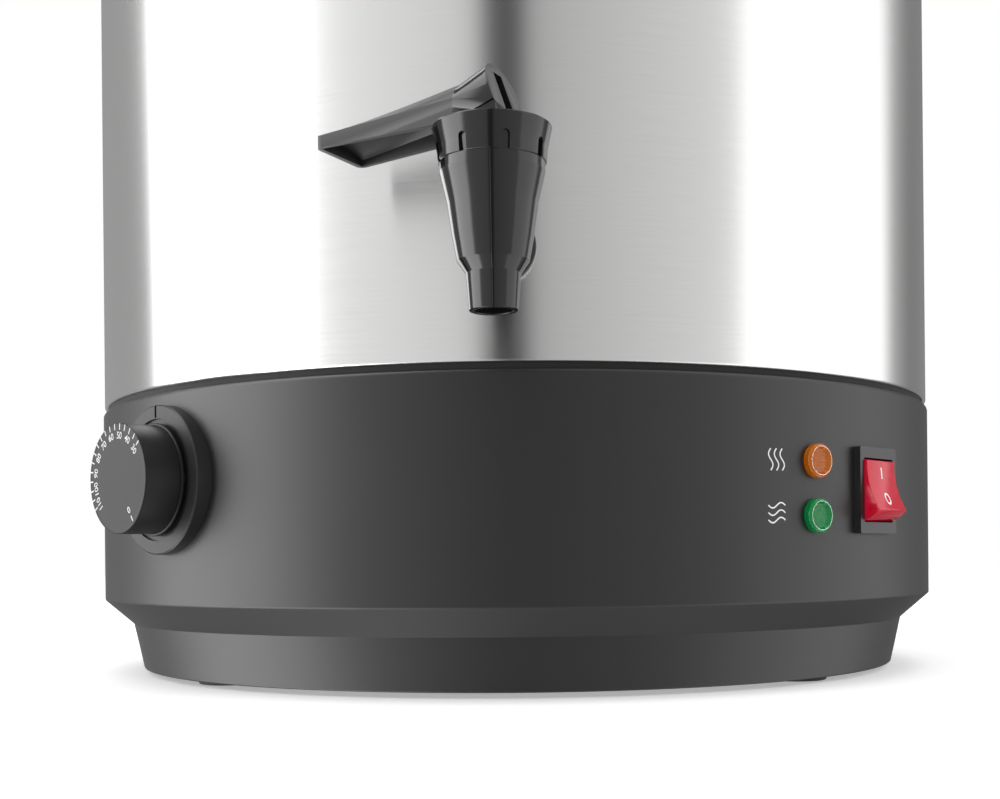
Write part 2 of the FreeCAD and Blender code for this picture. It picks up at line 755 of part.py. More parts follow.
def tap_body():
    """Moulded spout: flared round body, sloping shoulder, tip, and a threaded shank."""
    axis = tap_axis_height
    waist = axis + TAP_WAIST_RISE
    side = Part.Arc(V(TAP_TOP_RADIUS, 0, axis + TAP_TOP_RISE),
                    V(TAP_WAIST_RADIUS, 0, waist),
                    V(TAP_SHOULDER_RADIUS, 0, axis - TAP_SHOULDER_DROP)).toShape()
    rest = [V(TAP_SHOULDER_RADIUS, 0, axis - TAP_SHOULDER_DROP),
            V(TAP_TIP_TOP_RADIUS, 0, axis - TAP_TIP_TOP_DROP),
            V(TAP_TIP_RADIUS, 0, axis - TAP_TIP_DROP),
            V(0, 0, axis - TAP_TIP_DROP),
            V(0, 0, neck_top),
            V(TAP_NECK_RADIUS, 0, neck_top),
            V(TAP_NECK_RADIUS, 0, axis + TAP_TOP_RISE),
            V(TAP_TOP_RADIUS, 0, axis + TAP_TOP_RISE)]
    profile = Part.Wire([side] + Part.makePolygon(rest).Edges)
    body = at_tap(Part.Face(profile).revolve(ORIGIN, UP, 360))
    flange_face = jacket_radius + WASHER_THICKNESS
    shank = cylinder(SHANK_RADIUS, shank_end(), tap_distance)
    flange = cylinder(SHANK_FLANGE_RADIUS, flange_face, flange_face + SHANK_FLANGE)
    collar = Part.makeCone(SHANK_FLANGE_RADIUS - 2, SHANK_RADIUS + 1, TAP_REACH * 0.45,
                           V(0, 0, flange_face + SHANK_FLANGE))
    body = body.fuse(on_wall(shank.fuse([flange, collar]), axis, 0))
    chamber = revolved([
        (0, neck_top + 1, 0),
        (TAP_CHAMBER_RADIUS, neck_top + 1, 0),
        (TAP_CHAMBER_RADIUS, axis, 0),
        (TAP_SEAT_RADIUS, axis - TAP_SEAT_DROP, 0),
        (TAP_OUTLET_RADIUS, axis - TAP_SEAT_DROP - TAP_SEAT_HEIGHT, 0),
        (TAP_OUTLET_RADIUS, axis - TAP_TIP_DROP - 1, 0),
        (0, axis - TAP_TIP_DROP - 1, 0),
    ])
    inlet = on_wall(cylinder(SHANK_BORE, 0, tap_distance), axis, 0)
    return body.cut([at_tap(chamber), inlet])


def shank_end():
    """The shank ends past the nut, inside the tank."""
    return tank_nut_face() - TAP_NUT_HEIGHT - 2


def tank_nut_face():
    """Flat of the inner washer: clear of the tank's curve at the washer's edge."""
    half = SHANK_FLANGE_RADIUS
    return math.sqrt(TANK_RADIUS ** 2 - half ** 2) - WASHER_THICKNESS


def tap_washers():
    hole = cylinder(SHANK_RADIUS + THREAD_GAP, 0, tap_distance)
    outside = cylinder(SHANK_FLANGE_RADIUS, jacket_radius - 3, jacket_radius + WASHER_THICKNESS)
    outside = on_wall(outside.cut(hole), tap_axis_height, 0)
    outside = outside.cut(cylinder(jacket_radius + SEAT_GAP, 0, jacket_top))
    inside = cylinder(SHANK_FLANGE_RADIUS, tank_nut_face(), TANK_RADIUS)
    inside = on_wall(inside.cut(hole), tap_axis_height, 0)
    inside = inside.common(cylinder(TANK_RADIUS - SEAT_GAP, 0, jacket_top))
    return Part.makeCompound([outside, inside])


def tap_spacer():
    """Sleeve round the shank between tank and jacket, so the walls can be clamped."""
    sleeve = tube(SHANK_FLANGE_RADIUS - 1, SHANK_RADIUS + THREAD_GAP, TANK_RADIUS - 9,
                  jacket_radius)
    sleeve = on_wall(sleeve, tap_axis_height, 0)
    sleeve = sleeve.cut(cylinder(TANK_RADIUS + TANK_SHEET + SEAT_GAP, 0, jacket_top))
    return sleeve.common(cylinder(jacket_radius - JACKET_SHEET - SEAT_GAP, 0, jacket_top))


def tap_nut():
    top = tank_nut_face()
    nut = regular_prism(TAP_NUT_ACROSS, 6, top - TAP_NUT_HEIGHT, top)
    nut = nut.cut(cylinder(SHANK_RADIUS + THREAD_GAP, 0, tap_distance))
    return on_wall(nut, tap_axis_height, 0)


def tap_bonnet():
    """Screw cap of the tap: flared, notched for grip, with a raised rim round the lever."""
    flare = (BONNET_TOP_RADIUS - BONNET_BOTTOM_RADIUS) / BONNET_HEIGHT
    rim_inside = BONNET_TOP_RADIUS - BONNET_RIM_WALL
    cap = revolved([
        (TAP_NECK_RADIUS + RUNNING, bonnet_bottom, 0),
        (BONNET_BOTTOM_RADIUS, bonnet_bottom, 0),
        (BONNET_TOP_RADIUS, bonnet_top, 0.4),
        (rim_inside, bonnet_top, 0.4),
        (rim_inside - flare * (bonnet_top - web_top), web_top, 0),
        (BONNET_HOLE, web_top, 0),
        (BONNET_HOLE, web_bottom, 0),
        (TAP_NECK_RADIUS + RUNNING, web_bottom, 0),
    ])
    arch = NOTCH_HEIGHT - NOTCH_WIDTH / 2
    notch = block(NOTCH_WIDTH, arch + 2, -NOTCH_DEPTH, 4)
    notch = moved(notch, y=arch / 2 - 1)
    notch = notch.fuse(cylinder(NOTCH_WIDTH / 2, -NOTCH_DEPTH, 4, y=arch))
    tilt = math.degrees(math.atan(flare))
    notch = turned(turned(notch, 90, ALONG_X), tilt, ALONG_X)
    notch = moved(notch, y=-BONNET_BOTTOM_RADIUS, z=bonnet_bottom)
    step = 360 / NOTCH_COUNT
    cap = cap.cut([turned(notch, NOTCH_ANGLE + step * i) for i in range(NOTCH_COUNT)])
    return at_tap(cap)


def seat_cup():
    """Silicone cup: clamped flange, thin sleeve, and a plug that closes the outlet."""
    seat = tap_axis_height - TAP_SEAT_DROP
    slope = (TAP_SEAT_RADIUS - TAP_OUTLET_RADIUS) / TAP_SEAT_HEIGHT
    plug_low = seat - TAP_SEAT_HEIGHT / 2 + MOVING_GAP
    low_radius = CUP_RADIUS - slope * (seat - plug_low)
    inner = CUP_RADIUS - CUP_WALL
    shoulder = neck_top - CUP_FLANGE
    return at_tap(revolved([
        (0, plug_low, 0),
        (low_radius, plug_low, 0.6),
        (CUP_RADIUS, seat + MOVING_GAP, 0),
        (CUP_RADIUS, shoulder - 4, 0),
        (TAP_CHAMBER_RADIUS - MOVING_GAP, shoulder, 0),
        (TAP_CHAMBER_RADIUS - MOVING_GAP, neck_top, 0),
        (TAP_NECK_RADIUS, neck_top, 0),
        (TAP_NECK_RADIUS, web_bottom, 0),
        (TAP_CHAMBER_RADIUS - MOVING_GAP - CUP_WALL, web_bottom, 0),
        (inner, shoulder - 5, 0),
        (inner, seat + 6, 0),
        (0, seat + 6, 0),
    ]))


def tap_stem():
    """Stem: round foot in the cup, flat blade through the bonnet, eye for the pin."""
    foot = tap_axis_height - TAP_SEAT_DROP + 6
    shank_top = web_bottom - CAM_LIFT - 1
    foot_radius = CUP_RADIUS - CUP_WALL - RUNNING
    round_part = cylinder(STEM_RADIUS, foot, shank_top).fuse(
        cylinder(foot_radius, foot, foot + 4))
    blade = Part.makeBox(BLADE_WIDTH, BLADE_THICKNESS, pin_height - shank_top + 0.5,
                         V(-BLADE_WIDTH / 2, -BLADE_THICKNESS / 2, shank_top - 0.5))
    eye = turned(cylinder(BLADE_WIDTH / 2, -BLADE_THICKNESS / 2, BLADE_THICKNESS / 2),
                 90, ALONG_X)
    stem = round_part.fuse([blade, moved(eye, z=pin_height)])
    pin_hole = turned(cylinder(PIN_RADIUS + RUNNING, -10, 10), 90, ALONG_X)
    stem = stem.cut(moved(pin_hole, z=pin_height))
    return at_tap(turned(stem, -LEVER_SWING))


def thrust_washer():
    """Washer under the lever's cam; the blade's slot makes it turn with the lever."""
    washer = cylinder(THRUST_WASHER_RADIUS, web_top, thrust_top)
    slot = Part.makeBox(BLADE_WIDTH + 2 * RUNNING, BLADE_THICKNESS + 2 * RUNNING, 10,
                        V(-BLADE_WIDTH / 2 - RUNNING, -BLADE_THICKNESS / 2 - RUNNING,
                          web_top - 5))
    return at_tap(turned(washer.cut(slot), -LEVER_SWING))


def cam_point(turn):
    """Point of the cam whose face points down once the lever has turned this far."""
    angle = math.radians(turn)
    reach = CAM_REST + cam_rate * angle
    outward = V(math.sin(angle), 0, -math.cos(angle))
    along = V(math.cos(angle), 0, math.sin(angle))
    return outward * reach + along * cam_rate


def flat_frame():
    """Outward normal and upward direction of the head's flat, and its nearest point."""
    angle = math.radians(CAM_TURN)
    normal = V(math.sin(angle), 0, -math.cos(angle))
    rising = V(math.cos(angle), 0, math.sin(angle))
    return normal, rising, normal * (CAM_REST + CAM_LIFT)


def arch(base, rising, half_width, wall, crown):
    """Closed outline: level bottom edge, two side walls and an arched top."""
    across = ALONG_Y * half_width
    low = [base - across, base + across]
    high = [base - across + rising * wall, base + across + rising * wall]
    centre = base + rising * wall
    top = Part.Arc(high[1], centre + rising * crown, high[0]).toShape()
    return Part.Wire([Part.LineSegment(low[0], low[1]).toShape(),
                      Part.LineSegment(low[1], high[1]).toShape(),
                      top,
                      Part.LineSegment(high[0], low[0]).toShape()])


def tap_lever():
    """Lever: cam head with a flat round end, slotted for the blade, on a hollow handle."""
    normal, rising, foot = flat_frame()
    centre_rise = HEAD_TOP - HEAD_RADIUS
    head_end = arch(foot + rising * cam_rate, rising, HEAD_RADIUS,
                    centre_rise - cam_rate, HEAD_RADIUS)
    root_half = HANDLE_ROOT_WIDTH / 2
    end_half = HANDLE_END_WIDTH / 2
    root_wall = HEAD_BACK_RISE - LEVER_UNDERSIDE - ROOT_CROWN
    end_wall = LEVER_END_RISE - LEVER_END_UNDERSIDE - END_CROWN
    root = arch(V(-HEAD_LENGTH, 0, LEVER_UNDERSIDE), UP, root_half, root_wall, ROOT_CROWN)
    end = arch(V(-LEVER_LENGTH, 0, LEVER_END_UNDERSIDE), UP, end_half, end_wall, END_CROWN)
    head = Part.makeLoft([head_end, root], True, True)
    handle = Part.makeLoft([root, end], True, True)
    corners = [edge for edge in handle.Edges
               if abs(edge.CenterOfMass.x + LEVER_LENGTH) < 1e-3
               and abs(abs(edge.CenterOfMass.y) - end_half) < 1e-3]
    handle = handle.makeFillet(HANDLE_CORNER_ROUND, corners)
    steps = [cam_point(CAM_TURN * i / 6) for i in range(7)]
    curve = Part.BSplineCurve()
    curve.interpolate(steps)
    heel = [steps[-1], V(-HEAD_LENGTH + 1, 0, 5), V(-HEAD_LENGTH, 0, LEVER_UNDERSIDE + 1),
            V(-HEAD_LENGTH - 3, 0, LEVER_UNDERSIDE), V(-HEAD_LENGTH, 0, -CAM_REST),
            steps[0]]
    side = Part.Wire([curve.toShape()] + Part.makePolygon(heel).Edges)
    cam = Part.Face(side).extrude(ALONG_Y * HANDLE_ROOT_WIDTH)
    cam = moved(cam, y=-HANDLE_ROOT_WIDTH / 2)
    lever = head.fuse([handle, cam])
    hollow_root = arch(V(-HEAD_LENGTH - HOLLOW_START, 0, LEVER_UNDERSIDE - 1), UP,
                       root_half - LEVER_WALL, root_wall + 1 - LEVER_ROOF,
                       ROOT_CROWN - LEVER_WALL)
    hollow_end = arch(V(LEVER_WALL - LEVER_LENGTH, 0, LEVER_END_UNDERSIDE - 1), UP,
                      end_half - LEVER_WALL, end_wall + 1 - LEVER_ROOF, END_CROWN)
    lever = lever.cut(Part.makeLoft([hollow_root, hollow_end], True, True))
    gap = BLADE_WIDTH / 2 + SLOT_CLEARANCE
    back = -gap / math.sin(math.radians(CAM_TURN)) - 1.6
    high = HEAD_TOP - SLOT_END
    slot = Part.makePolygon([normal * 40 + rising * high, normal * back + rising * high,
                             normal * back - rising * 40, normal * 40 - rising * 40,
                             normal * 40 + rising * high])
    width = BLADE_THICKNESS + 2 * SLOT_CLEARANCE
    slot = moved(Part.Face(slot).extrude(ALONG_Y * width), y=-width / 2)
    pin_hole = turned(cylinder(PIN_RADIUS, -HEAD_RADIUS + 1.5, HEAD_RADIUS - 1.5), 90, ALONG_X)
    lever = lever.cut([slot, pin_hole])
    return at_tap(turned(moved(lever, z=pin_height), -LEVER_SWING))


def lever_pin():
    pin = turned(cylinder(PIN_RADIUS, -HEAD_RADIUS + 1.5, HEAD_RADIUS - 1.5), 90, ALONG_X)
    return at_tap(turned(moved(pin, z=pin_height), -LEVER_SWING))


def dial_escutcheon():
    """Round plate on the band round the knob, its back shaped to the curve."""
    plate = cylinder(ESCUTCHEON_RADIUS, BODY_RADIUS - 5, escutcheon_face)
    rim = [edge for edge in plate.Edges if abs(edge.CenterOfMass.z - escutcheon_face) < 1e-6]
    plate = plate.makeChamfer(0.5, rim)
    dish = cylinder(KNOB_RADIUS + KNOB_FLANGE_STEP + 1.2, escutcheon_face - ESCUTCHEON_LIP,
                    escutcheon_face + 1)
    index = Part.makeBox(INDEX_WIDTH, INDEX_LENGTH, INDEX_DEPTH + 1,
                         V(-INDEX_WIDTH / 2, ESCUTCHEON_RADIUS - INDEX_LENGTH,
                           escutcheon_face - INDEX_DEPTH))
    hole = cylinder(BUSHING_RADIUS + MOVING_GAP, 0, escutcheon_face + 1)
    cuts = [dish, index, hole]
    for side in (-1, 1):
        x = side * THERMOSTAT_SCREW_PITCH / 2
        cuts.append(cylinder(THERMOSTAT_SCREW_RADIUS + THREAD_GAP, 0, escutcheon_face + 1, x=x))
        cuts.append(cylinder(THERMOSTAT_SCREW_RADIUS * HEAD_RATIO + THREAD_GAP,
                             screw_seat(), escutcheon_face + 1, x=x))
    plate = on_wall(plate.cut(cuts), dial_height, DIAL_ANGLE)
    return plate.cut(cylinder(BODY_RADIUS + SEAT_GAP, 0, band_top + 20))


def screw_seat():
    return escutcheon_face - ESCUTCHEON_LIP - HEAD_HEIGHT * 0.8


def thermostat_screws():
    screws = []
    for side in (-1, 1):
        grip = screw_seat() - pad_face + THERMOSTAT_SCREW_GRIP
        screw = pan_screw(THERMOSTAT_SCREW_RADIUS, grip, HEAD_HEIGHT * 0.8)
        screw = moved(turned(screw, 180, ALONG_X), z=screw_seat())
        screw = moved(screw, x=side * THERMOSTAT_SCREW_PITCH / 2)
        screws.append(on_wall(screw, dial_height, DIAL_ANGLE))
    return Part.makeCompound(screws)


def control_knob():
    """Thermostat knob: plain skirt at the back, finely ribbed side, flat dial face."""
    skirt_top = knob_back + KNOB_FLANGE
    skirt = cylinder(KNOB_RADIUS + KNOB_FLANGE_STEP, knob_back, skirt_top)
    points = []
    for i in range(2 * KNOB_RIBS):
        radius = KNOB_RADIUS - (KNOB_RIB_DEPTH if i % 2 else 0)
        angle = math.pi * i / KNOB_RIBS
        points.append(V(radius * math.cos(angle), radius * math.sin(angle), skirt_top))
    points.append(points[0])
    grip = Part.Face(Part.makePolygon(points)).extrude(UP * (knob_face - skirt_top))
    knob = skirt.fuse(grip)
    hollow = cylinder(KNOB_RADIUS - 3.5, knob_back - 1, knob_back + 3)
    hub = cylinder(SPINDLE_RADIUS + 3, knob_back, knob_back + 4)
    knob = knob.cut(hollow).fuse(hub)
    return on_wall(knob.cut(spindle_solid(RUNNING)), dial_height, DIAL_ANGLE)


def spindle_solid(margin=0.0):
    """Round spindle with a flat over the stretch that enters the knob."""
    tip = knob_back + SPINDLE_ENGAGEMENT
    rod = cylinder(SPINDLE_RADIUS + margin, pad_face - 12, tip + margin)
    flat = Part.makeBox(20, 20, SPINDLE_ENGAGEMENT + 20,
                        V(-10, SPINDLE_FLAT + margin, knob_back - 1))
    return rod.cut(flat)


def thermostat_spindle():
    return on_wall(spindle_solid(), dial_height, DIAL_ANGLE)


def thermostat_body():
    """Capillary thermostat: case, threaded bushing and two rows of spade terminals."""
    case = block(THERMOSTAT_SIZE, THERMOSTAT_SIZE, pad_face - THERMOSTAT_DEPTH, pad_face)
    corners = [edge for edge in case.Edges
               if abs(edge.Vertexes[0].Z - edge.Vertexes[1].Z) > 1]
    case = case.makeFillet(3, corners)
    bushing = cylinder(BUSHING_RADIUS, pad_face, BODY_RADIUS + 1)
    back = pad_face - THERMOSTAT_DEPTH
    spades = [moved(block(SPADE_WIDTH, SPADE_THICKNESS, back - SPADE_LENGTH, back + 1),
                    x=x, y=-THERMOSTAT_SIZE / 2 + 6) for x in (-8, 8)]
    body = case.fuse([bushing] + spades)
    bore = cylinder(SPINDLE_RADIUS + RUNNING, pad_face - 12 - RUNNING, BODY_RADIUS + 5)
    cuts = [bore]
    for side in (-1, 1):
        cuts.append(cylinder(THERMOSTAT_SCREW_RADIUS + THREAD_GAP,
                             pad_face - THERMOSTAT_SCREW_GRIP - 1, pad_face + 1,
                             x=side * THERMOSTAT_SCREW_PITCH / 2))
    return on_wall(body.cut(cuts), dial_height, DIAL_ANGLE)


def bulb_height():
    return tank_underside - BULB_RADIUS


def capillary_drop():
    """Distance from the urn's axis at which the capillary passes down the shield."""
    return BULB_START + BULB_LENGTH + CAPILLARY_RUN


def sensor_bulb():
    bulb = Part.makeCylinder(BULB_RADIUS, BULB_LENGTH, V(0, -BULB_START, bulb_height()),
                             V(0, -1, 0))
    ends = [edge for edge in bulb.Edges if edge.Closed]
    return turned(bulb.makeFillet(BULB_RADIUS * 0.6, ends), DIAL_ANGLE)


def capillary():
    """Thin copper tube from the bulb's end, down past the shield, to the thermostat."""
    start = V(0, -(BULB_START + BULB_LENGTH), bulb_height())
    level = dial_height + THERMOSTAT_SIZE / 2 - 7
    finish = V(0, -(pad_face - THERMOSTAT_DEPTH), level)
    drop = capillary_drop()
    points = [start, V(0, -drop, start.z), V(0, -drop, level), finish]
    return turned(bent_tube(points, CAPILLARY_RADIUS, CAPILLARY_BEND), DIAL_ANGLE)


def bulb_clip():
    """Spring clip that holds the bulb against the tank's floor."""
    inner = BULB_RADIUS + RUNNING
    outer = inner + CLIP_SHEET
    centre = bulb_height()
    middle = BULB_START + BULB_LENGTH / 2
    hoop = Part.makeCylinder(outer, CLIP_WIDTH, V(0, -middle + CLIP_WIDTH / 2, centre),
                             V(0, -1, 0))
    saddle = Part.makeBox(2 * outer, CLIP_WIDTH, BULB_RADIUS,
                          V(-outer, -middle - CLIP_WIDTH / 2, centre))
    ears = Part.makeBox(2 * (outer + CLIP_EAR), CLIP_WIDTH, CLIP_SHEET,
                        V(-outer - CLIP_EAR, -middle - CLIP_WIDTH / 2,
                          tank_underside - CLIP_SHEET))
    void = Part.makeCylinder(inner, CLIP_WIDTH + 2, V(0, -middle + CLIP_WIDTH / 2 + 1, centre),
                             V(0, -1, 0))
    slot = Part.makeBox(2 * inner, CLIP_WIDTH + 2, BULB_RADIUS + 1,
                        V(-inner, -middle - CLIP_WIDTH / 2 - 1, centre))
    clip = hoop.fuse([saddle, ears]).cut([void, slot])
    clip = clip.common(cylinder(BODY_RADIUS, 0, tank_underside))
    return turned(clip, DIAL_ANGLE)


def element_tail_angles():
    return 90 - ELEMENT_GAP_ANGLE / 2, 90 + ELEMENT_GAP_ANGLE / 2


def element_shape(radius):
    """Heating tube: one open ring whose two ends turn down."""
    level = heater_bottom + ELEMENT_SINK - ELEMENT_RADIUS
    first, last = [math.radians(angle) for angle in element_tail_angles()]
    sweep = last - first - 2 * math.pi
    ring = [V(ELEMENT_RING * math.cos(a), ELEMENT_RING * math.sin(a), level)
            for a in (first, first + sweep / 2, last)]
    arc = Part.Arc(ring[0], ring[1], ring[2]).toShape()
    tangent = arc.tangentAt(arc.FirstParameter)
    section = Part.Wire(Part.Circle(ring[0], tangent, radius).toShape())
    loop = Part.Wire(arc).makePipeShell([section], True, True)
    parts = []
    for end in (ring[0], ring[2]):
        parts.append(cylinder(radius, level - ELEMENT_TAIL, level, x=end.x, y=end.y))
        parts.append(Part.makeSphere(radius, end))
    return loop.fuse(parts)


def heater_plate():
    plate = cylinder(HEATER_RADIUS, heater_bottom, tank_underside)
    return plate.cut(element_shape(ELEMENT_RADIUS + RUNNING))


def heating_element():
    return element_shape(ELEMENT_RADIUS)


def thermal_cutout():
    """Boil-dry cut-out: round bimetal switch pressed to the heater plate, two spades."""
    can = cylinder(CUTOUT_RADIUS, heater_bottom - CUTOUT_HEIGHT, heater_bottom)
    spades = [Part.makeBox(SPADE_THICKNESS, SPADE_WIDTH, SPADE_LENGTH * 0.6,
                           V(x - SPADE_THICKNESS / 2, -SPADE_WIDTH / 2,
                             heater_bottom - CUTOUT_HEIGHT - SPADE_LENGTH * 0.6))
              for x in (-4, 4)]
    return can.fuse(spades)


def lamp_lens():
    """Coloured lens: rounded button with a sunk face inside its bright edge."""
    front = BODY_RADIUS + LENS_RISE
    return revolved([
        (0, housing_inside - 2, 0),
        (LAMP_BARREL - 0.6, housing_inside - 2, 0),
        (LAMP_BARREL - 0.6, BODY_RADIUS - 0.6, 0),
        (LENS_RADIUS, BODY_RADIUS - 0.6, 0),
        (LENS_RADIUS, front, LENS_EDGE),
        (LENS_FACE_RADIUS + 0.5, front, 0.4),
        (LENS_FACE_RADIUS, front - LENS_FACE_DEPTH, 0),
        (0, front - LENS_FACE_DEPTH, 0),
    ])


def lens_on_wall(height):
    lens = on_wall(lamp_lens(), height, LAMP_ANGLE)
    skin = cylinder(BODY_RADIUS, 0, band_top)
    skin = skin.cut(on_wall(cylinder(LAMP_BARREL, 0, BODY_RADIUS + 9), height, LAMP_ANGLE))
    return lens.cut(skin)


def amber_lens():
    return lens_on_wall(lamp_heights()[0])


def green_lens():
    return lens_on_wall(lamp_heights()[1])


def lamp_bodies():
    back = housing_inside - LAMP_LENGTH
    inner = LAMP_BARREL - 0.6 + RUNNING
    body = cylinder(LAMP_BARREL, back, BODY_RADIUS - 0.7)
    body = body.cut(cylinder(inner, housing_inside - 2, BODY_RADIUS))
    return Part.makeCompound([on_wall(body, height, LAMP_ANGLE) for height in lamp_heights()])


def lamp_clips():
    clip = tube(LAMP_CLIP_RADIUS, LAMP_BARREL + THREAD_GAP, housing_inside - 1.2 -
                LAMP_CLIP_SHEET, housing_inside)
    clips = [on_wall(clip, height, LAMP_ANGLE) for height in lamp_heights()]
    inside = cylinder(housing_inside, 0, band_top)
    return Part.makeCompound([clip.common(inside) for clip in clips])


def rocker_window():
    half = ROCKER_RADIUS + MOVING_GAP
    width = ROCKER_WIDTH + 2 * MOVING_GAP
    return block(width, 2 * half, rocker_pivot - ROCKER_RADIUS - 1, bezel_face + 1)


def switch_body():
    """Switch case with its bezel, open at the front for the rocker."""
    bezel = block(BEZEL_WIDTH, BEZEL_HEIGHT, BODY_RADIUS - 5, bezel_face)
    corners = [edge for edge in bezel.Edges
               if abs(edge.Vertexes[0].Z - edge.Vertexes[1].Z) > 1]
    bezel = bezel.makeFillet(BEZEL_EDGE, corners)
    bezel = on_wall(bezel, switch_height, SWITCH_ANGLE).cut(cylinder(BODY_RADIUS, 0, band_top))
    back = bezel_face - SWITCH_BODY_DEPTH
    case = block(SWITCH_BODY_WIDTH, SWITCH_BODY_HEIGHT, back, bezel_face - 0.5)
    spades = []
    for x in (-SPADE_PITCH_X / 2, SPADE_PITCH_X / 2):
        for y in (-SPADE_PITCH_Y / 2, SPADE_PITCH_Y / 2):
            spade = block(SPADE_THICKNESS, SPADE_WIDTH, back - SPADE_LENGTH, back + 1)
            spades.append(moved(spade, x=x, y=y))
    case = on_wall(case.fuse(spades), switch_height, SWITCH_ANGLE)
    sockets = turned(cylinder(TRUNNION_RADIUS + RUNNING, -ROCKER_WIDTH / 2 - TRUNNION_LENGTH,
                              ROCKER_WIDTH / 2 + TRUNNION_LENGTH), 90, ALONG_Y)
    hole = rocker_window().fuse(moved(sockets, z=rocker_pivot))
    return bezel.fuse(case).cut(on_wall(hole, switch_height, SWITCH_ANGLE))


def switch_rocker():
    """Rocker: a barrel round its pivot, cut by a hollow face that joins two tips."""
    tip = math.radians(ROCKER_TIP_ANGLE)
    high = ROCKER_RADIUS * math.cos(tip)
    wide = ROCKER_RADIUS * math.sin(tip)
    low = math.sqrt(ROCKER_RADIUS ** 2 - ROCKER_ROOT ** 2)
    tips = [V(0, wide, high), V(0, -wide, high)]
    feet = [V(0, low, -ROCKER_ROOT), V(0, -low, -ROCKER_ROOT)]
    face = Part.Wire([
        Part.Arc(tips[0], V(0, 0, high - ROCKER_HOLLOW), tips[1]).toShape(),
        Part.Arc(tips[1], V(0, -ROCKER_RADIUS, 0), feet[1]).toShape(),
        Part.LineSegment(feet[1], feet[0]).toShape(),
        Part.Arc(feet[0], V(0, ROCKER_RADIUS, 0), tips[0]).toShape(),
    ])
    rocker = Part.Face(face).extrude(ALONG_X * ROCKER_WIDTH)
    rocker = moved(rocker, x=-ROCKER_WIDTH / 2)
    pins = turned(cylinder(TRUNNION_RADIUS, -ROCKER_WIDTH / 2 - TRUNNION_LENGTH + MOVING_GAP,
                           ROCKER_WIDTH / 2 + TRUNNION_LENGTH - MOVING_GAP), 90, ALONG_Y)
    rocker = turned(rocker.fuse(pins), -ROCKER_TILT, ALONG_X)
    return on_wall(moved(rocker, z=rocker_pivot), switch_height, SWITCH_ANGLE)


def cable_gland():
    """Nylon gland at the back: hexagon against the band, domed nose, threaded tail."""
    seat = BODY_RADIUS
    hexagon = regular_prism(GLAND_ACROSS, 6, seat, seat + GLAND_HEX)
    hexagon = hexagon.fuse(cylinder(GLAND_ACROSS / 2, seat - 2, seat))
    dome = revolved([
        (0, seat + GLAND_HEX, 0),
        (GLAND_ACROSS / 2 - 1.5, seat + GLAND_HEX, 0),
        (GLAND_ACROSS / 2 - 1.5, seat + GLAND_HEX + GLAND_DOME * 0.5, 1.5),
        (GLAND_BORE + 1.8, seat + GLAND_HEX + GLAND_DOME, 1),
        (0, seat + GLAND_HEX + GLAND_DOME, 0),
    ])
    nose = on_wall(hexagon.fuse(dome), gland_height, 180).cut(cylinder(seat, 0, band_top))
    tail = on_wall(cylinder(GLAND_THREAD, housing_inside - GLAND_TAIL, seat + 1),
                   gland_height, 180)
    bore = on_wall(cylinder(GLAND_BORE, housing_inside - GLAND_TAIL - 5, seat + 40),
                   gland_height, 180)
    return nose.fuse(tail).cut(bore)


def gland_nut():
    flat = math.sqrt(housing_inside ** 2 - (GLAND_ACROSS / 2) ** 2)
    nut = regular_prism(GLAND_ACROSS, 6, flat - GLAND_NUT_HEIGHT, housing_inside + 1)
    nut = nut.cut(cylinder(GLAND_THREAD + THREAD_GAP, 0, BODY_RADIUS))
    nut = on_wall(nut, gland_height, 180)
    return nut.common(cylinder(housing_inside, 0, band_top))


def terminal_block():
    """Mains terminal block on the base plate, with one screw well for each pole."""
    base = Part.makeBox(TERMINAL_LENGTH, TERMINAL_WIDTH, TERMINAL_HEIGHT,
                        V(-TERMINAL_LENGTH / 2, TERMINAL_SET_BACK, plate_top))
    pitch = TERMINAL_LENGTH / TERMINAL_POLES
    wells = []
    for i in range(TERMINAL_POLES):
        x = -TERMINAL_LENGTH / 2 + pitch * (i + 0.5)
        wells.append(cylinder(TERMINAL_SCREW_RADIUS, plate_top + TERMINAL_HEIGHT / 2,
                              plate_top + TERMINAL_HEIGHT + 1, x=x,
                              y=TERMINAL_SET_BACK + TERMINAL_WIDTH / 2))
    return base.cut(wells)


PARTS = {
    "base_housing": base_housing,
    "base_plate": base_plate,
    "rubber_feet": rubber_feet,
    "base_screws": base_screws,
    "seam_gasket": seam_gasket,
    "outer_jacket": outer_jacket,
    "jacket_screws": jacket_screws,
    "heat_shield": heat_shield,
    "inner_tank": inner_tank,
    "top_collar": top_collar,
    "lid": lid,
    "lid_knob": lid_knob,
    "lid_screw": lid_screw,
    "left_handle": lambda: side_handle(-1),
    "right_handle": lambda: side_handle(1),
    "handle_screws": handle_screws,
    "handle_backings": handle_backings,
    "tap_body": tap_body,
    "tap_washers": tap_washers,
    "tap_spacer": tap_spacer,
    "tap_nut": tap_nut,
    "tap_bonnet": tap_bonnet,
    "seat_cup": seat_cup,
    "tap_stem": tap_stem,
    "thrust_washer": thrust_washer,
    "tap_lever": tap_lever,
    "lever_pin": lever_pin,
    "dial_escutcheon": dial_escutcheon,
    "thermostat_screws": thermostat_screws,
    "control_knob": control_knob,
    "thermostat_spindle": thermostat_spindle,
    "thermostat_body": thermostat_body,
    "sensor_bulb": sensor_bulb,
    "capillary": capillary,
    "bulb_clip": bulb_clip,
    "heater_plate": heater_plate,
    "heating_element": heating_element,
    "thermal_cutout": thermal_cutout,
    "amber_lens": amber_lens,
    "green_lens": green_lens,
    "lamp_bodies": lamp_bodies,
    "lamp_clips": lamp_clips,
    "switch_body": switch_body,
    "switch_rocker": switch_rocker,
    "cable_gland": cable_gland,
    "gland_nut": gland_nut,
    "terminal_block": terminal_block,
}

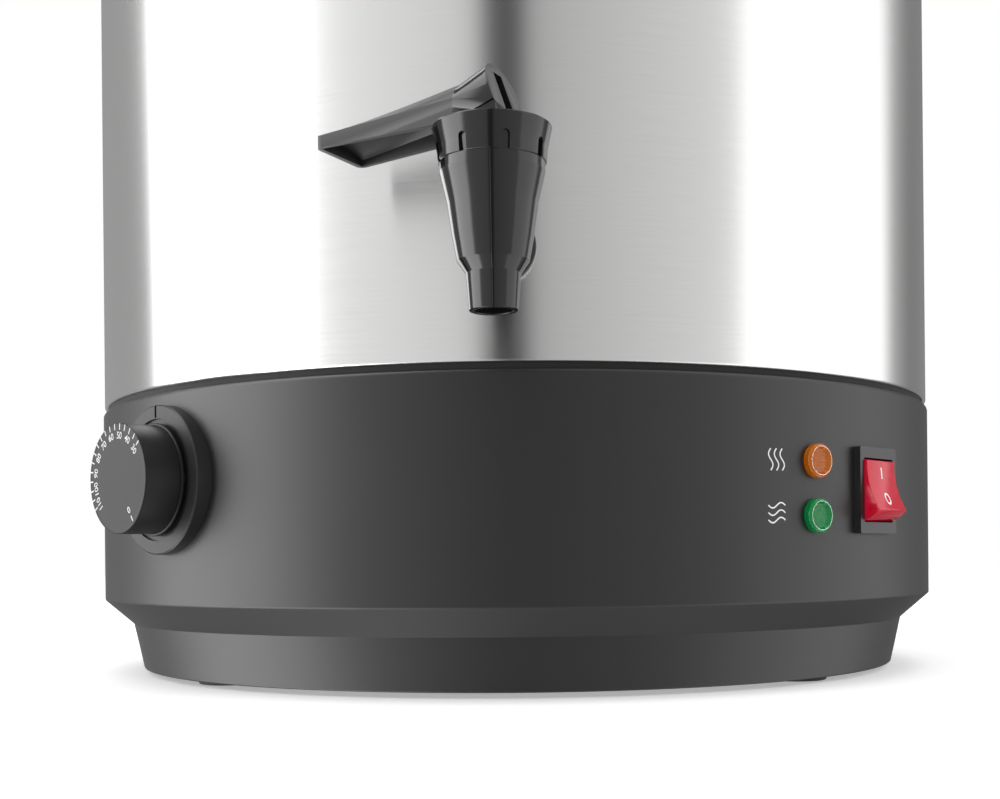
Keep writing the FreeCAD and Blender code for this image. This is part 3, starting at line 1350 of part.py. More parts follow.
os.makedirs("parts", exist_ok=True)
for name, make in PARTS.items():
    shape = make()
    if len(shape.Solids) == 1:
        shape = shape.Solids[0]
    shape.exportStep(os.path.join("parts", name + ".step"))
    corner = shape.BoundBox
    print(name, len(shape.Solids), "solid(s), valid", shape.isValid(),
          "%.0f mm3" % shape.Volume,
          "x %.1f..%.1f y %.1f..%.1f z %.1f..%.1f" % (corner.XMin, corner.XMax, corner.YMin,
                                                      corner.YMax, corner.ZMin, corner.ZMax))
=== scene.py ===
import math

import bpy
from mathutils import Matrix, Vector


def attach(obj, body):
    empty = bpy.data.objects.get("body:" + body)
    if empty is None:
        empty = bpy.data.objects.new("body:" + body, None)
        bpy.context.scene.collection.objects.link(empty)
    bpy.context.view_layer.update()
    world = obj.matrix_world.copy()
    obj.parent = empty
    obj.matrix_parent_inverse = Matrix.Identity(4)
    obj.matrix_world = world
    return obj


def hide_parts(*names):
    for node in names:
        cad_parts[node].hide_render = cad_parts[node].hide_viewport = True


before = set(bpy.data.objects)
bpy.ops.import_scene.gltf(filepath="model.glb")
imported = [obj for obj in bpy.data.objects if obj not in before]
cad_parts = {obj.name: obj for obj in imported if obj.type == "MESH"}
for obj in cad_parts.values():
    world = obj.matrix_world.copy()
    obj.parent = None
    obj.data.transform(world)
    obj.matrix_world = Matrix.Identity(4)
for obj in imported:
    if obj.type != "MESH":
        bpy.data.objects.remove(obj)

bpy.context.scene.view_settings.view_transform = "Standard"
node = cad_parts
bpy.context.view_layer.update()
MM = 0.001


# The picture is taken from just above the worktop, close to the urn, so that the
# tap is seen from below. The camera stands a little to the right of the tap.
AXIS_DISTANCE = 597 * MM
CAMERA_HEIGHT = 47.6 * MM
CAMERA_TURN = math.radians(1.5)
CAMERA_ROLL = math.radians(0.55)
FRAME_WIDTH = 36.0
FOCAL_LENGTH = 46.872
SHIFT_SIDE = -0.0167
SHIFT_UP = 0.1565
camera_data = bpy.data.cameras.new("camera")
camera = bpy.data.objects.new("camera", camera_data)
bpy.context.scene.collection.objects.link(camera)
bpy.context.scene.camera = camera
camera_data.sensor_fit = "HORIZONTAL"
camera_data.sensor_width = FRAME_WIDTH
camera_data.lens = FOCAL_LENGTH
camera_data.shift_y = SHIFT_UP
camera_data.shift_x = SHIFT_SIDE
camera_data.clip_start = 0.01
camera.location = (AXIS_DISTANCE * math.sin(CAMERA_TURN),
                   -AXIS_DISTANCE * math.cos(CAMERA_TURN), CAMERA_HEIGHT)
camera.rotation_euler = (math.radians(90), CAMERA_ROLL, CAMERA_TURN)


# Every finish is put together from nodes. A value or colour in it takes part in sums
# as a number does, and anything else is one node with its settings and its inputs.
class Value:
    def __init__(self, finish, socket):
        self.finish = finish
        self.socket = socket

    def maths(self, operation, *terms):
        return self.finish.add("ShaderNodeMath", {"operation": operation},
                               dict(enumerate(terms)))

    def __add__(self, other):
        return self.maths("ADD", self, other)

    def __sub__(self, other):
        return self.maths("SUBTRACT", self, other)

    def __mul__(self, other):
        return self.maths("MULTIPLY", self, other)

    def __truediv__(self, other):
        return self.maths("DIVIDE", self, other)

    def __pow__(self, other):
        return self.maths("POWER", self, other)

    def __abs__(self):
        return self.maths("ABSOLUTE", self)

    __radd__ = __add__
    __rmul__ = __mul__


class Finish:
    def __init__(self, name, tree=None, **settings):
        if tree is None:
            self.material = bpy.data.materials.new(name)
            self.material.use_nodes = True
            tree = self.material.node_tree
            self.shader = tree.nodes["Principled BSDF"]
        self.tree = tree
        for socket, value in settings.items():
            self.set(socket, value)

    def set(self, socket, value):
        name = socket.replace("_", " ")
        if isinstance(value, Value):
            self.tree.links.new(value.socket, self.shader.inputs[name])
        else:
            self.shader.inputs[name].default_value = value

    def add(self, kind, settings, inputs, output=0):
        made = self.tree.nodes.new(kind)
        for name, value in settings.items():
            if name == "stops":
                ramp = made.color_ramp
                while len(ramp.elements) < len(value):
                    ramp.elements.new(0.5)
                for element, (place, shade) in zip(ramp.elements, value):
                    element.position = place
                    element.color = shade
            else:
                setattr(made, name, value)
        for name, value in inputs.items():
            if isinstance(value, Value):
                self.tree.links.new(value.socket, made.inputs[name])
            else:
                made.inputs[name].default_value = value
        return Value(self, made.outputs[output])

    def place(self):
        return self.add("ShaderNodeTexCoord", {}, {}, "Object")

    def noise(self, place, scale, detail=3.0, roughness=0.5):
        return self.add("ShaderNodeTexNoise", {},
                        {"Vector": place, "Scale": scale, "Detail": detail,
                         "Roughness": roughness})

    def split(self, place):
        cut = self.add("ShaderNodeSeparateXYZ", {}, {"Vector": place})
        outputs = cut.socket.node.outputs
        return [Value(self, outputs[axis]) for axis in "XYZ"]

    def vector(self, x, y, z):
        return self.add("ShaderNodeCombineXYZ", {}, {"X": x, "Y": y, "Z": z})

    def turn(self, x, y):
        """Angle round the vertical axis, zero at the tap's side, as a part of a turn."""
        return self.add("ShaderNodeMath", {"operation": "ARCTAN2"},
                        {0: x, 1: y * -1.0}) / math.tau

    def blend(self, low, high, factor):
        return self.add("ShaderNodeMix", {"data_type": "RGBA"},
                        {0: factor, 6: low, 7: high}, 2)

    def bump(self, height, depth, strength=1.0):
        return self.add("ShaderNodeBump", {},
                        {"Height": height, "Distance": depth, "Strength": strength})

    def step(self, value, low, high):
        """Runs smoothly from 0 at the low value to 1 at the high one."""
        return self.add("ShaderNodeMapRange", {"interpolation_type": "SMOOTHSTEP"},
                        {"Value": value, "From Min": low, "From Max": high})


def grey(level):
    return (level, level, level, 1.0)


def tinted(colour, factor):
    return tuple(min(1.0, part * factor) for part in colour[:3]) + (1.0,)


def dress(finish, *names):
    for name in names:
        node[name].data.materials.clear()
        node[name].data.materials.append(finish.material)


# The studio's light is an even white, but reflections see a ring of panels round the urn:
# a very bright one left, one right, a grey wall between with a dark gap for the camera,
# and a dim room behind. The floor doesn't show in reflections.
STUDIO_LEVEL = 5.0
LEFT_PANEL = 5.0
RIGHT_PANEL = 1.7
CAMERA_GAP = 0.04
WHITE = 1.0
studio = bpy.data.worlds.new("studio")
bpy.context.scene.world = studio
studio.use_nodes = True
sky = Finish("studio", tree=studio.node_tree)
way = sky.add("ShaderNodeTexCoord", {}, {}, "Generated")
way_x, way_y = sky.split(way)[:2]
round_turn = sky.turn(way_x, way_y) + 0.5


def bearing(degrees):
    return degrees / 360 + 0.5


def panel(level):
    return grey(level / STUDIO_LEVEL)


walls = sky.add("ShaderNodeValToRGB", {"stops": [
    (bearing(-180), panel(0.30)),
    (bearing(-125), panel(0.42)),
    (bearing(-107.5), panel(0.46)),
    (bearing(-103.5), panel(LEFT_PANEL)),
    (bearing(-60), panel(LEFT_PANEL)),
    (bearing(-52), panel(1.25)),
    (bearing(-40), panel(1.04)),
    (bearing(-7.5), panel(0.82)),
    (bearing(-4.5), panel(CAMERA_GAP)),
    (bearing(3.5), panel(CAMERA_GAP)),
    (bearing(6), panel(0.56)),
    (bearing(59), panel(0.92)),
    (bearing(63), panel(RIGHT_PANEL)),
    (bearing(114), panel(RIGHT_PANEL)),
    (bearing(120), panel(0.50)),
    (bearing(132), panel(0.24)),
    (bearing(180), panel(0.30)),
]}, {"Fac": round_turn})
mirrored = sky.add("ShaderNodeLightPath", {}, {}, "Is Glossy Ray")
sky_out = studio.node_tree.nodes["Background"]
studio.node_tree.links.new(sky.blend(panel(WHITE), walls, mirrored).socket,
                           sky_out.inputs["Color"])
sky_out.inputs["Strength"].default_value = STUDIO_LEVEL

lamp_data = bpy.data.lights.new("top_panel", "AREA")
lamp_data.size = 1.3
lamp_data.energy = 9.0
lamp = bpy.data.objects.new("top_panel", lamp_data)
bpy.context.scene.collection.objects.link(lamp)
lamp.location = (-0.1, -0.35, 1.5)
lamp.visible_glossy = False
aim = Vector((0, 0, 0.1)) - lamp.location
lamp.rotation_euler = aim.to_track_quat("-Z", "Y").to_euler()

bpy.ops.object.select_all(action="DESELECT")
bpy.ops.mesh.primitive_plane_add(size=6.0, location=(0, 0, 0))
floor = bpy.context.object
floor.name = "floor"
floor.visible_glossy = False
white_table = Finish("white_table", Roughness=0.7, Emission_Strength=0.36)
table_cloud = white_table.noise(white_table.place(), 3.0)
white_table.set("Base_Color", white_table.blend(grey(0.84), grey(0.87), table_cloud))
in_picture = white_table.add("ShaderNodeLightPath", {}, {}, "Is Camera Ray")
white_table.set("Emission_Color", white_table.blend(grey(0.0), grey(1.0), in_picture))
floor.data.materials.append(white_table.material)


# The base is one large moulding in black plastic with a fine matt grain: band, chamfer
# and inset plinth, with holes for the dial, lamps, switch and gland.
def moulded(name, colour, roughness, grain, depth):
    """Moulded plastic: a grain of the given size and depth, and slightly cloudy shine."""
    finish = Finish(name)
    place = finish.place()
    cloud = finish.noise(place, 22.0, 2.0)
    fine = finish.noise(place, 1 / grain, 2.0)
    finish.set("Base_Color", finish.blend(tinted(colour, 0.86), tinted(colour, 1.14),
                                          cloud * 0.6 + fine * 0.4))
    finish.set("Roughness", cloud * 0.08 + fine * 0.08 + (roughness - 0.08))
    finish.set("Normal", finish.bump(fine, depth, 0.6))
    return finish


base_black = moulded("base_black", (0.0125, 0.0125, 0.013), 0.42, 0.45 * MM, 0.02 * MM)
dress(base_black, "base_housing")


# Two small printed signs stand beside the lamps: three upright waves for heating and
# three level waves for keeping warm, each a raised stroke of white ink.
WAVE_LENGTH = 7.4
WAVE_HEIGHT = 0.95
WAVE_PITCH = 2.5
INK_WIDTH = 0.52
STROKE_POINTS = 17
SIGN_ANGLE = 30.8
HEATING_HEIGHT = 79.4
KEEP_WARM_HEIGHT = 61.4
INK_LIFT = 0.02
BAND_RADIUS = 180.0


def on_wall(angle, height):
    """Local Z points out of the wall, at an angle from the tap and a height."""
    return (Matrix.Rotation(math.radians(angle), 4, "Z")
            @ Matrix.Translation((0, 0, height * MM))
            @ Matrix.Rotation(math.radians(90), 4, "X"))


def settle(piece, matrix):
    """Moves a finished mesh to its place and leaves its object at the origin."""
    piece.matrix_world = matrix @ piece.matrix_world
    bpy.ops.object.select_all(action="DESELECT")
    piece.select_set(True)
    bpy.context.view_layer.objects.active = piece
    bpy.ops.object.transform_apply(location=True, rotation=True, scale=True)


def joined(name, pieces):
    bpy.ops.object.select_all(action="DESELECT")
    for piece in pieces:
        piece.select_set(True)
    bpy.context.view_layer.objects.active = pieces[0]
    bpy.ops.object.join()
    pieces[0].name = name
    return pieces[0]


def tidy_mesh(piece):
    """Merges doubles and turns all faces outward."""
    bpy.ops.object.select_all(action="DESELECT")
    piece.select_set(True)
    bpy.context.view_layer.objects.active = piece
    bpy.ops.object.mode_set(mode="EDIT")
    bpy.ops.mesh.select_all(action="SELECT")
    bpy.ops.mesh.remove_doubles(threshold=2e-6)
    bpy.ops.mesh.normals_make_consistent(inside=False)
    bpy.ops.object.mode_set(mode="OBJECT")


def wave(offset, upright):
    bpy.ops.object.select_all(action="DESELECT")
    bpy.ops.curve.primitive_nurbs_path_add()
    stroke = bpy.context.object
    spline = stroke.data.splines[0]
    spline.points.add(STROKE_POINTS - len(spline.points))
    for i, point in enumerate(spline.points):
        part = i / (STROKE_POINTS - 1)
        along = (part - 0.5) * WAVE_LENGTH * MM
        across = -math.sin(math.tau * part) * WAVE_HEIGHT * MM + offset * MM
        point.co = (across, -along, 0, 1) if upright else (along, across, 0, 1)
    spline.order_u = 3
    spline.use_endpoint_u = True
    stroke.data.bevel_depth = INK_WIDTH / 2 * MM
    stroke.data.bevel_resolution = 2
    stroke.data.resolution_u = 3
    stroke.data.use_fill_caps = True
    bpy.ops.object.convert(target="MESH")
    stroke = bpy.context.object
    settle(stroke, Matrix.Scale(0.2, 4, (0, 0, 1)))
    return stroke


white_ink = Finish("white_ink", Roughness=0.5)
ink_cloud = white_ink.noise(white_ink.place(), 900.0)
white_ink.set("Base_Color", white_ink.blend(grey(0.74), grey(0.86), ink_cloud))
white_ink.set("Normal", white_ink.bump(ink_cloud, 0.01 * MM))
for name, upright, height in (("heating_sign", True, HEATING_HEIGHT),
                              ("keep_warm_sign", False, KEEP_WARM_HEIGHT)):
    sign = joined(name, [wave(i * WAVE_PITCH, upright) for i in (-1, 0, 1)])
    tidy_mesh(sign)
    bpy.ops.object.shade_smooth()
    settle(sign, on_wall(SIGN_ANGLE, height)
           @ Matrix.Translation((0, 0, (BAND_RADIUS + INK_LIFT) * MM)))
    sign.data.materials.append(white_ink.material)
    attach(sign, "urn")


# The jacket is brushed steel sheet, rolled round and welded up the back, with a flange
# turned in at its bottom edge, which stands on a black rubber ring on the base's ledge.
JACKET_RADIUS = 179.4
JACKET_SHEET = 0.7
JACKET_BOTTOM = 110.0
JACKET_TOP = 420.0
FLANGE_EDGE = 169.4
POLE = 0.002


def rounded(corners, steps=5):
    """Points along (radius, height, rounding) corners, each rounded by an arc."""
    points = []
    for i, (radius, height, rounding) in enumerate(corners):
        here = Vector((radius, height))
        if rounding == 0:
            points.append(here)
            continue
        back = (Vector(corners[i - 1][:2]) - here).normalized()
        ahead = (Vector(corners[i + 1][:2]) - here).normalized()
        half = back.angle(ahead) / 2
        setback = rounding / math.tan(half)
        centre = here + (back + ahead).normalized() * (rounding / math.sin(half))
        start = here + back * setback - centre
        end = here + ahead * setback - centre
        for k in range(steps + 1):
            mix = start.lerp(end, k / steps)
            if 0 < k < steps:
                sweep = start.angle(end)
                mix = (start * math.sin(sweep * (1 - k / steps))
                       + end * math.sin(sweep * k / steps)) / math.sin(sweep)
            points.append(centre + mix)
    return [(max(point.x, POLE), point.y) for point in points]


def turned(name, points, sides):
    """A ring of edges drawn up along the profile, as a potter pulls a wall."""
    bpy.ops.object.select_all(action="DESELECT")
    radius, height = points[0]
    bpy.ops.mesh.primitive_circle_add(vertices=sides, radius=radius * MM,
                                      location=(0, 0, height * MM))
    piece = bpy.context.object
    piece.name = name
    bpy.ops.object.mode_set(mode="EDIT")
    bpy.ops.mesh.select_all(action="SELECT")
    for next_radius, next_height in points[1:]:
        rise = (0, 0, (next_height - height) * MM)
        bpy.ops.mesh.extrude_region_move(TRANSFORM_OT_translate={"value": rise})
        scale = next_radius / radius
        bpy.ops.transform.resize(value=(scale, scale, 1),
                                 center_override=(0, 0, next_height * MM))
        radius, height = next_radius, next_height
    bpy.ops.mesh.select_all(action="SELECT")
    bpy.ops.mesh.remove_doubles(threshold=5e-6)
    bpy.ops.mesh.normals_make_consistent(inside=False)
    bpy.ops.object.mode_set(mode="OBJECT")
    bpy.ops.object.transform_apply(location=True, rotation=True, scale=True)
    bpy.ops.object.shade_smooth_by_angle(angle=math.radians(32))
    return piece


inside = JACKET_RADIUS - JACKET_SHEET
jacket = turned("jacket", rounded([
    (FLANGE_EDGE, JACKET_BOTTOM, 0),
    (JACKET_RADIUS, JACKET_BOTTOM, 1.3),
    (JACKET_RADIUS, JACKET_TOP, 0),
    (inside, JACKET_TOP, 0),
    (inside, JACKET_BOTTOM + JACKET_SHEET, 0.6),
    (FLANGE_EDGE, JACKET_BOTTOM + JACKET_SHEET, 0),
    (FLANGE_EDGE, JACKET_BOTTOM, 0),
]), 288)


def brushed(name, light, roughness, radius, level_lines):
    """Steel with fine brush lines: level ones round a wall, or rings on a flat."""
    steel = Finish(name, Metallic=1.0, Anisotropic=0.85)
    place = steel.place()
    x, y, z = steel.split(place)
    turn = steel.turn(x, y)
    across = z if level_lines else (x * x + y * y) ** 0.5
    along = turn * (math.tau * radius)
    long_lines = steel.noise(steel.vector(along * 28.0, 0.0, across * 1900.0), 1.0, 3.0, 0.7)
    short_lines = steel.noise(steel.vector(along * 150.0, 3.0, across * 4200.0), 1.0, 2.0, 0.6)
    cloud = steel.noise(place, 9.0, 2.0)
    weld = steel.step(abs(turn), 0.49905, 0.4994)
    lines = long_lines * 0.6 + short_lines * 0.4
    steel.set("Base_Color", steel.blend(tinted(light, 0.90), tinted(light, 1.08),
                                        lines * 0.8 + cloud * 0.2 - weld * 0.5))
    steel.set("Roughness", lines * 0.10 + cloud * 0.03 + weld * 0.2 + (roughness - 0.065))
    steel.set("Normal", steel.bump(lines - weld, 0.004 * MM, 0.5))
    return steel


jacket_steel = brushed("jacket_steel", (0.70, 0.70, 0.695), 0.25, 0.18, True)
jacket_steel.set("Anisotropic_Rotation", 0.25)
jacket.data.materials.append(jacket_steel.material)
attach(jacket, "urn")
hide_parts("outer_jacket")

seam_rubber = moulded("seam_rubber", (0.008, 0.008, 0.008), 0.75, 0.3 * MM, 0.02 * MM)
dress(seam_rubber, "seam_gasket")


# The dial knob is a dark grey moulding with a ribbed side, a thin smooth skirt at the
# back and a hub that pushes onto the thermostat's flatted spindle.
DIAL_ANGLE = -42.8
DIAL_HEIGHT = 76.0
KNOB_BACK = 184.7
KNOB_FACE = 199.3
KNOB_RADIUS = 19.9
RIB_DEPTH = 0.5
RIB_COUNT = 96
SKIRT_RADIUS = 20.7
SKIRT_TOP = 185.9
knob = turned("knob", rounded([
    (0, KNOB_BACK + 10.06, 0),
    (3.06, KNOB_BACK + 10.06, 0),
    (3.06, KNOB_BACK + 0.1, 0),
    (6.0, KNOB_BACK + 0.1, 0),
    (6.0, KNOB_BACK + 3.0, 0),
    (16.4, KNOB_BACK + 3.0, 0),
    (16.4, KNOB_BACK, 0),
    (SKIRT_RADIUS, KNOB_BACK, 0.25),
    (SKIRT_RADIUS, SKIRT_TOP, 0.35),
    (KNOB_RADIUS, SKIRT_TOP, 0),
    (KNOB_RADIUS, SKIRT_TOP + 0.01, 0),
    (KNOB_RADIUS, KNOB_FACE, 0.45),
    (KNOB_RADIUS - 1.6, KNOB_FACE, 0),
    (9.0, KNOB_FACE, 0),
    (0, KNOB_FACE, 0),
], 3), RIB_COUNT * 4)
for vertex in knob.data.vertices:
    place = vertex.co / MM
    around = math.atan2(place.y, place.x) / math.tau * RIB_COUNT
    in_groove = 0.4 < (around + 0.125) % 1.0 < 0.9
    on_side = math.hypot(place.x, place.y) > KNOB_RADIUS - 0.6
    vertex.select = in_groove and on_side and place.z > SKIRT_TOP + 0.005
bpy.context.view_layer.objects.active = knob
bpy.ops.object.mode_set(mode="EDIT")
bpy.ops.mesh.select_mode(type="VERT")
groove = 1 - RIB_DEPTH / KNOB_RADIUS
bpy.ops.transform.resize(value=(groove, groove, 1), center_override=(0, 0, 0))
bpy.ops.object.mode_set(mode="OBJECT")
settle(knob, on_wall(DIAL_ANGLE, DIAL_HEIGHT))
knob_grey = moulded("knob_grey", (0.0085, 0.0085, 0.0088), 0.40, 0.3 * MM, 0.012 * MM)
knob_grey.set("IOR", 1.34)
knob.data.materials.append(knob_grey.material)
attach(knob, "knob")
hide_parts("control_knob")


# The dial's marks are printed on the knob's face in white ink: ticks every five degrees
# from 30 to 110 with a number at every ten, and a tick with a nought for off.
TICK_WIDTH = 0.52
TICK_IN = 17.0
TICK_OUT = 19.2
NUMBER_RING = 14.9
NUMBER_HEIGHT = 2.5
DEGREE_STEP = 2.188
FIRST_MARK = 50.6
OFF_MARK = 145.0
OFF_TICK_RING = 17.3
OFF_NUMBER_RING = 13.6
INK_DEPTH = 0.05


def clockwise(angle):
    return Matrix.Rotation(-math.radians(angle), 4, "Z")


def copy_of(piece):
    twin = piece.copy()
    twin.data = piece.data.copy()
    bpy.context.scene.collection.objects.link(twin)
    return twin


def number(text, height):
    bpy.ops.object.select_all(action="DESELECT")
    bpy.ops.object.text_add()
    digits = bpy.context.object
    digits.data.body = text
    digits.data.size = height / 0.72 * MM
    digits.data.align_x = "CENTER"
    digits.data.align_y = "CENTER"
    digits.data.extrude = INK_DEPTH / 2 * MM
    digits.data.offset = 0.012 * height * MM
    digits.data.resolution_u = 3
    bpy.ops.object.convert(target="MESH")
    digits = bpy.context.object
    tidy_mesh(digits)
    return digits


def tick(width, length):
    bpy.ops.object.select_all(action="DESELECT")
    bpy.ops.mesh.primitive_cube_add(size=1.0, scale=(width * MM, length * MM, INK_DEPTH * MM))
    bar = bpy.context.object
    bpy.ops.object.transform_apply(location=True, rotation=True, scale=True)
    bpy.ops.object.mode_set(mode="EDIT")
    bpy.ops.mesh.select_all(action="SELECT")
    bpy.ops.mesh.bevel(offset=0.012 * MM, segments=1)
    bpy.ops.object.mode_set(mode="OBJECT")
    return bar


first_tick = tick(TICK_WIDTH, TICK_OUT - TICK_IN)
marks = []
for value in range(30, 115, 5):
    spoke = clockwise(FIRST_MARK - (value - 30) * DEGREE_STEP)
    mark = copy_of(first_tick)
    settle(mark, spoke @ Matrix.Translation((0, (TICK_IN + TICK_OUT) / 2 * MM, 0)))
    marks.append(mark)
    if value % 10 == 0:
        mark = number(str(value), NUMBER_HEIGHT)
        settle(mark, spoke @ Matrix.Translation((0, NUMBER_RING * MM, 0)))
        marks.append(mark)
off_spoke = clockwise(OFF_MARK)
settle(first_tick, off_spoke @ Matrix.Translation((0, OFF_TICK_RING * MM, 0)))
marks.append(first_tick)
nought = number("0", NUMBER_HEIGHT)
settle(nought, off_spoke @ Matrix.Translation((0, OFF_NUMBER_RING * MM, 0)))
marks.append(nought)
dial_marks = joined("dial_marks", marks)
settle(dial_marks, on_wall(DIAL_ANGLE, DIAL_HEIGHT)
       @ Matrix.Translation((0, 0, (KNOB_FACE + INK_DEPTH / 2) * MM)))
dial_marks.data.materials.append(white_ink.material)
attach(dial_marks, "knob")


# A round plate of the same black plastic lies on the band behind the knob, with a sunk
# index line at its top. Two zinc plated screws under the knob hold the thermostat.
plate_black = moulded("plate_black", (0.019, 0.019, 0.0195), 0.38, 0.4 * MM, 0.015 * MM)
plate_black.set("IOR", 1.38)
dress(plate_black, "dial_escutcheon")


def plated(name, colour, roughness):
    """Bright plated or drawn metal, a little uneven, with fine scratches."""
    finish = Finish(name, Metallic=1.0)
    place = finish.place()
    cloud = finish.noise(place, 120.0, 2.0)
    scratch = finish.noise(place, 2600.0, 3.0, 0.7)
    finish.set("Base_Color", finish.blend(tinted(colour, 0.86), tinted(colour, 1.06), cloud))
    finish.set("Roughness", scratch * 0.16 + cloud * 0.08 + (roughness - 0.12))
    finish.set("Normal", finish.bump(scratch, 0.004 * MM))
    return finish


zinc = plated("zinc", (0.68, 0.69, 0.70), 0.32)
dress(zinc, "thermostat_screws", "base_screws", "jacket_screws", "lid_screw", "handle_screws")


# Two signal lamps: a tinted lens with a raised rim and a sunk window with level ribs on
# its face, in front of a white lamp holder clipped behind the band.
LENS_RADIUS = 6.0
LENS_FRONT = 183.0
LENS_BACK = 175.2
LENS_BARREL = 4.35
LIP_RADIUS = 4.9
WINDOW_RADIUS = 3.7
WINDOW_FACE = 181.7
WINDOW_RIB = 0.5
RIB_RADIUS = 0.27
LAMP_ANGLE = 36.6
AMBER_HEIGHT = 79.45
GREEN_HEIGHT = 60.55
lens = turned("amber_button", rounded([
    (0, LENS_BACK, 0),
    (LENS_BARREL, LENS_BACK, 0.2),
    (LENS_BARREL, BAND_RADIUS + 0.02, 0),
    (LENS_RADIUS, BAND_RADIUS + 0.02, 0.1),
    (LENS_RADIUS, LENS_FRONT, 1.1),
    (LIP_RADIUS, LENS_FRONT, 0.25),
    (WINDOW_RADIUS + 0.35, WINDOW_FACE, 0.3),
    (WINDOW_RADIUS - 0.4, WINDOW_FACE, 0),
    (0, WINDOW_FACE, 0),
], 4), 64)
bpy.ops.object.select_all(action="DESELECT")
bpy.ops.mesh.primitive_cylinder_add(vertices=8, radius=RIB_RADIUS * MM, depth=2 * MM,
                                    rotation=(0, math.radians(90), 0))
first_rib = bpy.context.object
bpy.ops.object.transform_apply(location=True, rotation=True, scale=True)
ribs = []
for i in range(-6, 7):
    level = i * WINDOW_RIB
    half_chord = math.sqrt(WINDOW_RADIUS ** 2 - level ** 2)
    rib = copy_of(first_rib)
    settle(rib, Matrix.Translation((0, level * MM, WINDOW_FACE * MM))
           @ Matrix.Diagonal((half_chord, 1.0, 0.6, 1.0)))
    ribs.append(rib)
bpy.data.objects.remove(first_rib)
lens = joined("amber_button", [lens] + ribs)
green_button = copy_of(lens)
green_button.name = "green_button"


def clear_plastic(name, colour):
    """Clear tinted plastic, its tint a little cloudy, with a polished skin and a faint painted
    glow in its own tint.
    """
    finish = Finish(name, Transmission_Weight=0.55, IOR=1.42, Emission_Strength=0.06)
    cloud = finish.noise(finish.place(), 420.0, 2.0)
    body = finish.blend(tinted(colour, 0.8), tinted(colour, 1.12), cloud)
    finish.set("Base_Color", body)
    # Painted glow: the plastic gives off a little light of its own tint, though no lamp lights
    # it.
    finish.set("Emission_Color", body)
    finish.set("Roughness", cloud * 0.10 + 0.06)
    finish.set("Normal", finish.bump(cloud, 0.008 * MM))
    return finish


for piece, colour, height, name in (
        (lens, (0.66, 0.19, 0.001), AMBER_HEIGHT, "amber_lens"),
        (green_button, (0.0, 0.34, 0.085), GREEN_HEIGHT, "green_lens")):
    settle(piece, on_wall(LAMP_ANGLE, height))
    tint = clear_plastic(name + "_plastic", colour)
    piece.data.materials.append(tint.material)
    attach(piece, "urn")
    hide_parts(name)
    name.split("_")[0]

natural = moulded("natural_plastic", (0.62, 0.60, 0.54), 0.42, 0.5 * MM, 0.01 * MM)
dress(natural, "lamp_bodies", "terminal_block", "tap_spacer", "tap_stem", "thrust_washer")
spring_steel = plated("spring_steel", (0.60, 0.61, 0.63), 0.36)
dress(spring_steel, "lamp_clips", "bulb_clip", "lever_pin")


# The lit rocker switch: a black case whose bezel clips onto the band, and a hollow-faced
# rocker in clear red plastic with a line and a circle printed on it, and a faint painted red
# glow.
SWITCH_ANGLE = 47.4
SWITCH_HEIGHT = 70.0
PIVOT = 179.5
ROCKER_TILT = 15.0
HOLLOW_RADIUS = 30.7
HOLLOW_CENTRE = 35.75
ON_MARK_OFFSET = 4.9
OFF_MARK_OFFSET = -4.7
PRINT_LIFT = 0.03
switch_black = moulded("switch_black", (0.014, 0.014, 0.015), 0.34, 0.3 * MM, 0.008 * MM)
dress(switch_black, "switch_body")


def softened(name, source, width, limit):
    """A copy of a solid with its sharp edges rounded over, as a mould leaves them."""
    bpy.ops.object.select_all(action="DESELECT")
    piece = copy_of(node[source])
    piece.name = name
    tidy_mesh(piece)
    bpy.ops.object.mode_set(mode="EDIT")
    bpy.ops.mesh.select_all(action="SELECT")
    bpy.ops.mesh.dissolve_limited(angle_limit=math.radians(1.0))
    bpy.ops.object.mode_set(mode="OBJECT")
    rounding = piece.modifiers.new("rounding", "BEVEL")
    rounding.width = width * MM
    rounding.segments = 3
    rounding.limit_method = "ANGLE"
    rounding.angle_limit = math.radians(limit)
    bpy.ops.object.modifier_apply(modifier="rounding")
    bpy.ops.object.shade_smooth_by_angle(angle=math.radians(38))
    piece.data.materials.clear()
    return piece


rocker = softened("rocker", "switch_rocker", 0.35, 35)
rocker_red = clear_plastic("rocker_red", (0.62, 0.004, 0.03))
rocker_red.set("Transmission_Weight", 0.15)
rocker.data.materials.append(rocker_red.material)
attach(rocker, "rocker")
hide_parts("switch_rocker")

bpy.ops.object.select_all(action="DESELECT")
bpy.ops.mesh.primitive_torus_add(major_radius=1.55 * MM, minor_radius=0.36 * MM,
                                 major_segments=40, minor_segments=10)
circle_mark = bpy.context.object
bpy.ops.object.mode_set(mode="EDIT")
bpy.ops.mesh.select_all(action="SELECT")
bpy.ops.transform.resize(value=(0.92, 1.3, 0.25), center_override=(0, 0, 0))
bpy.ops.object.mode_set(mode="OBJECT")
bpy.ops.object.shade_smooth()
line_mark = tick(0.75, 4.1)
pale_ink = Finish("pale_ink", Roughness=0.35)
pale_cloud = pale_ink.noise(pale_ink.place(), 900.0)
pale_ink.set("Base_Color", pale_ink.blend((0.86, 0.76, 0.77, 1), (0.96, 0.90, 0.90, 1),
                                          pale_cloud))
for mark, name, offset in ((line_mark, "on_mark", ON_MARK_OFFSET),
                           (circle_mark, "off_mark", OFF_MARK_OFFSET)):
    mark.name = name
    depth = HOLLOW_CENTRE - math.sqrt(HOLLOW_RADIUS ** 2 - offset ** 2)
    lean = math.asin(offset / HOLLOW_RADIUS)
    settle(mark, on_wall(SWITCH_ANGLE, SWITCH_HEIGHT) @ Matrix.Translation((0, 0, PIVOT * MM))
           @ Matrix.Rotation(math.radians(-ROCKER_TILT), 4, "X")
           @ Matrix.Translation((0, offset * MM, (depth + PRINT_LIFT) * MM))
           @ Matrix.Rotation(lean, 4, "X"))
    mark.data.materials.append(pale_ink.material)
    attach(mark, "rocker")


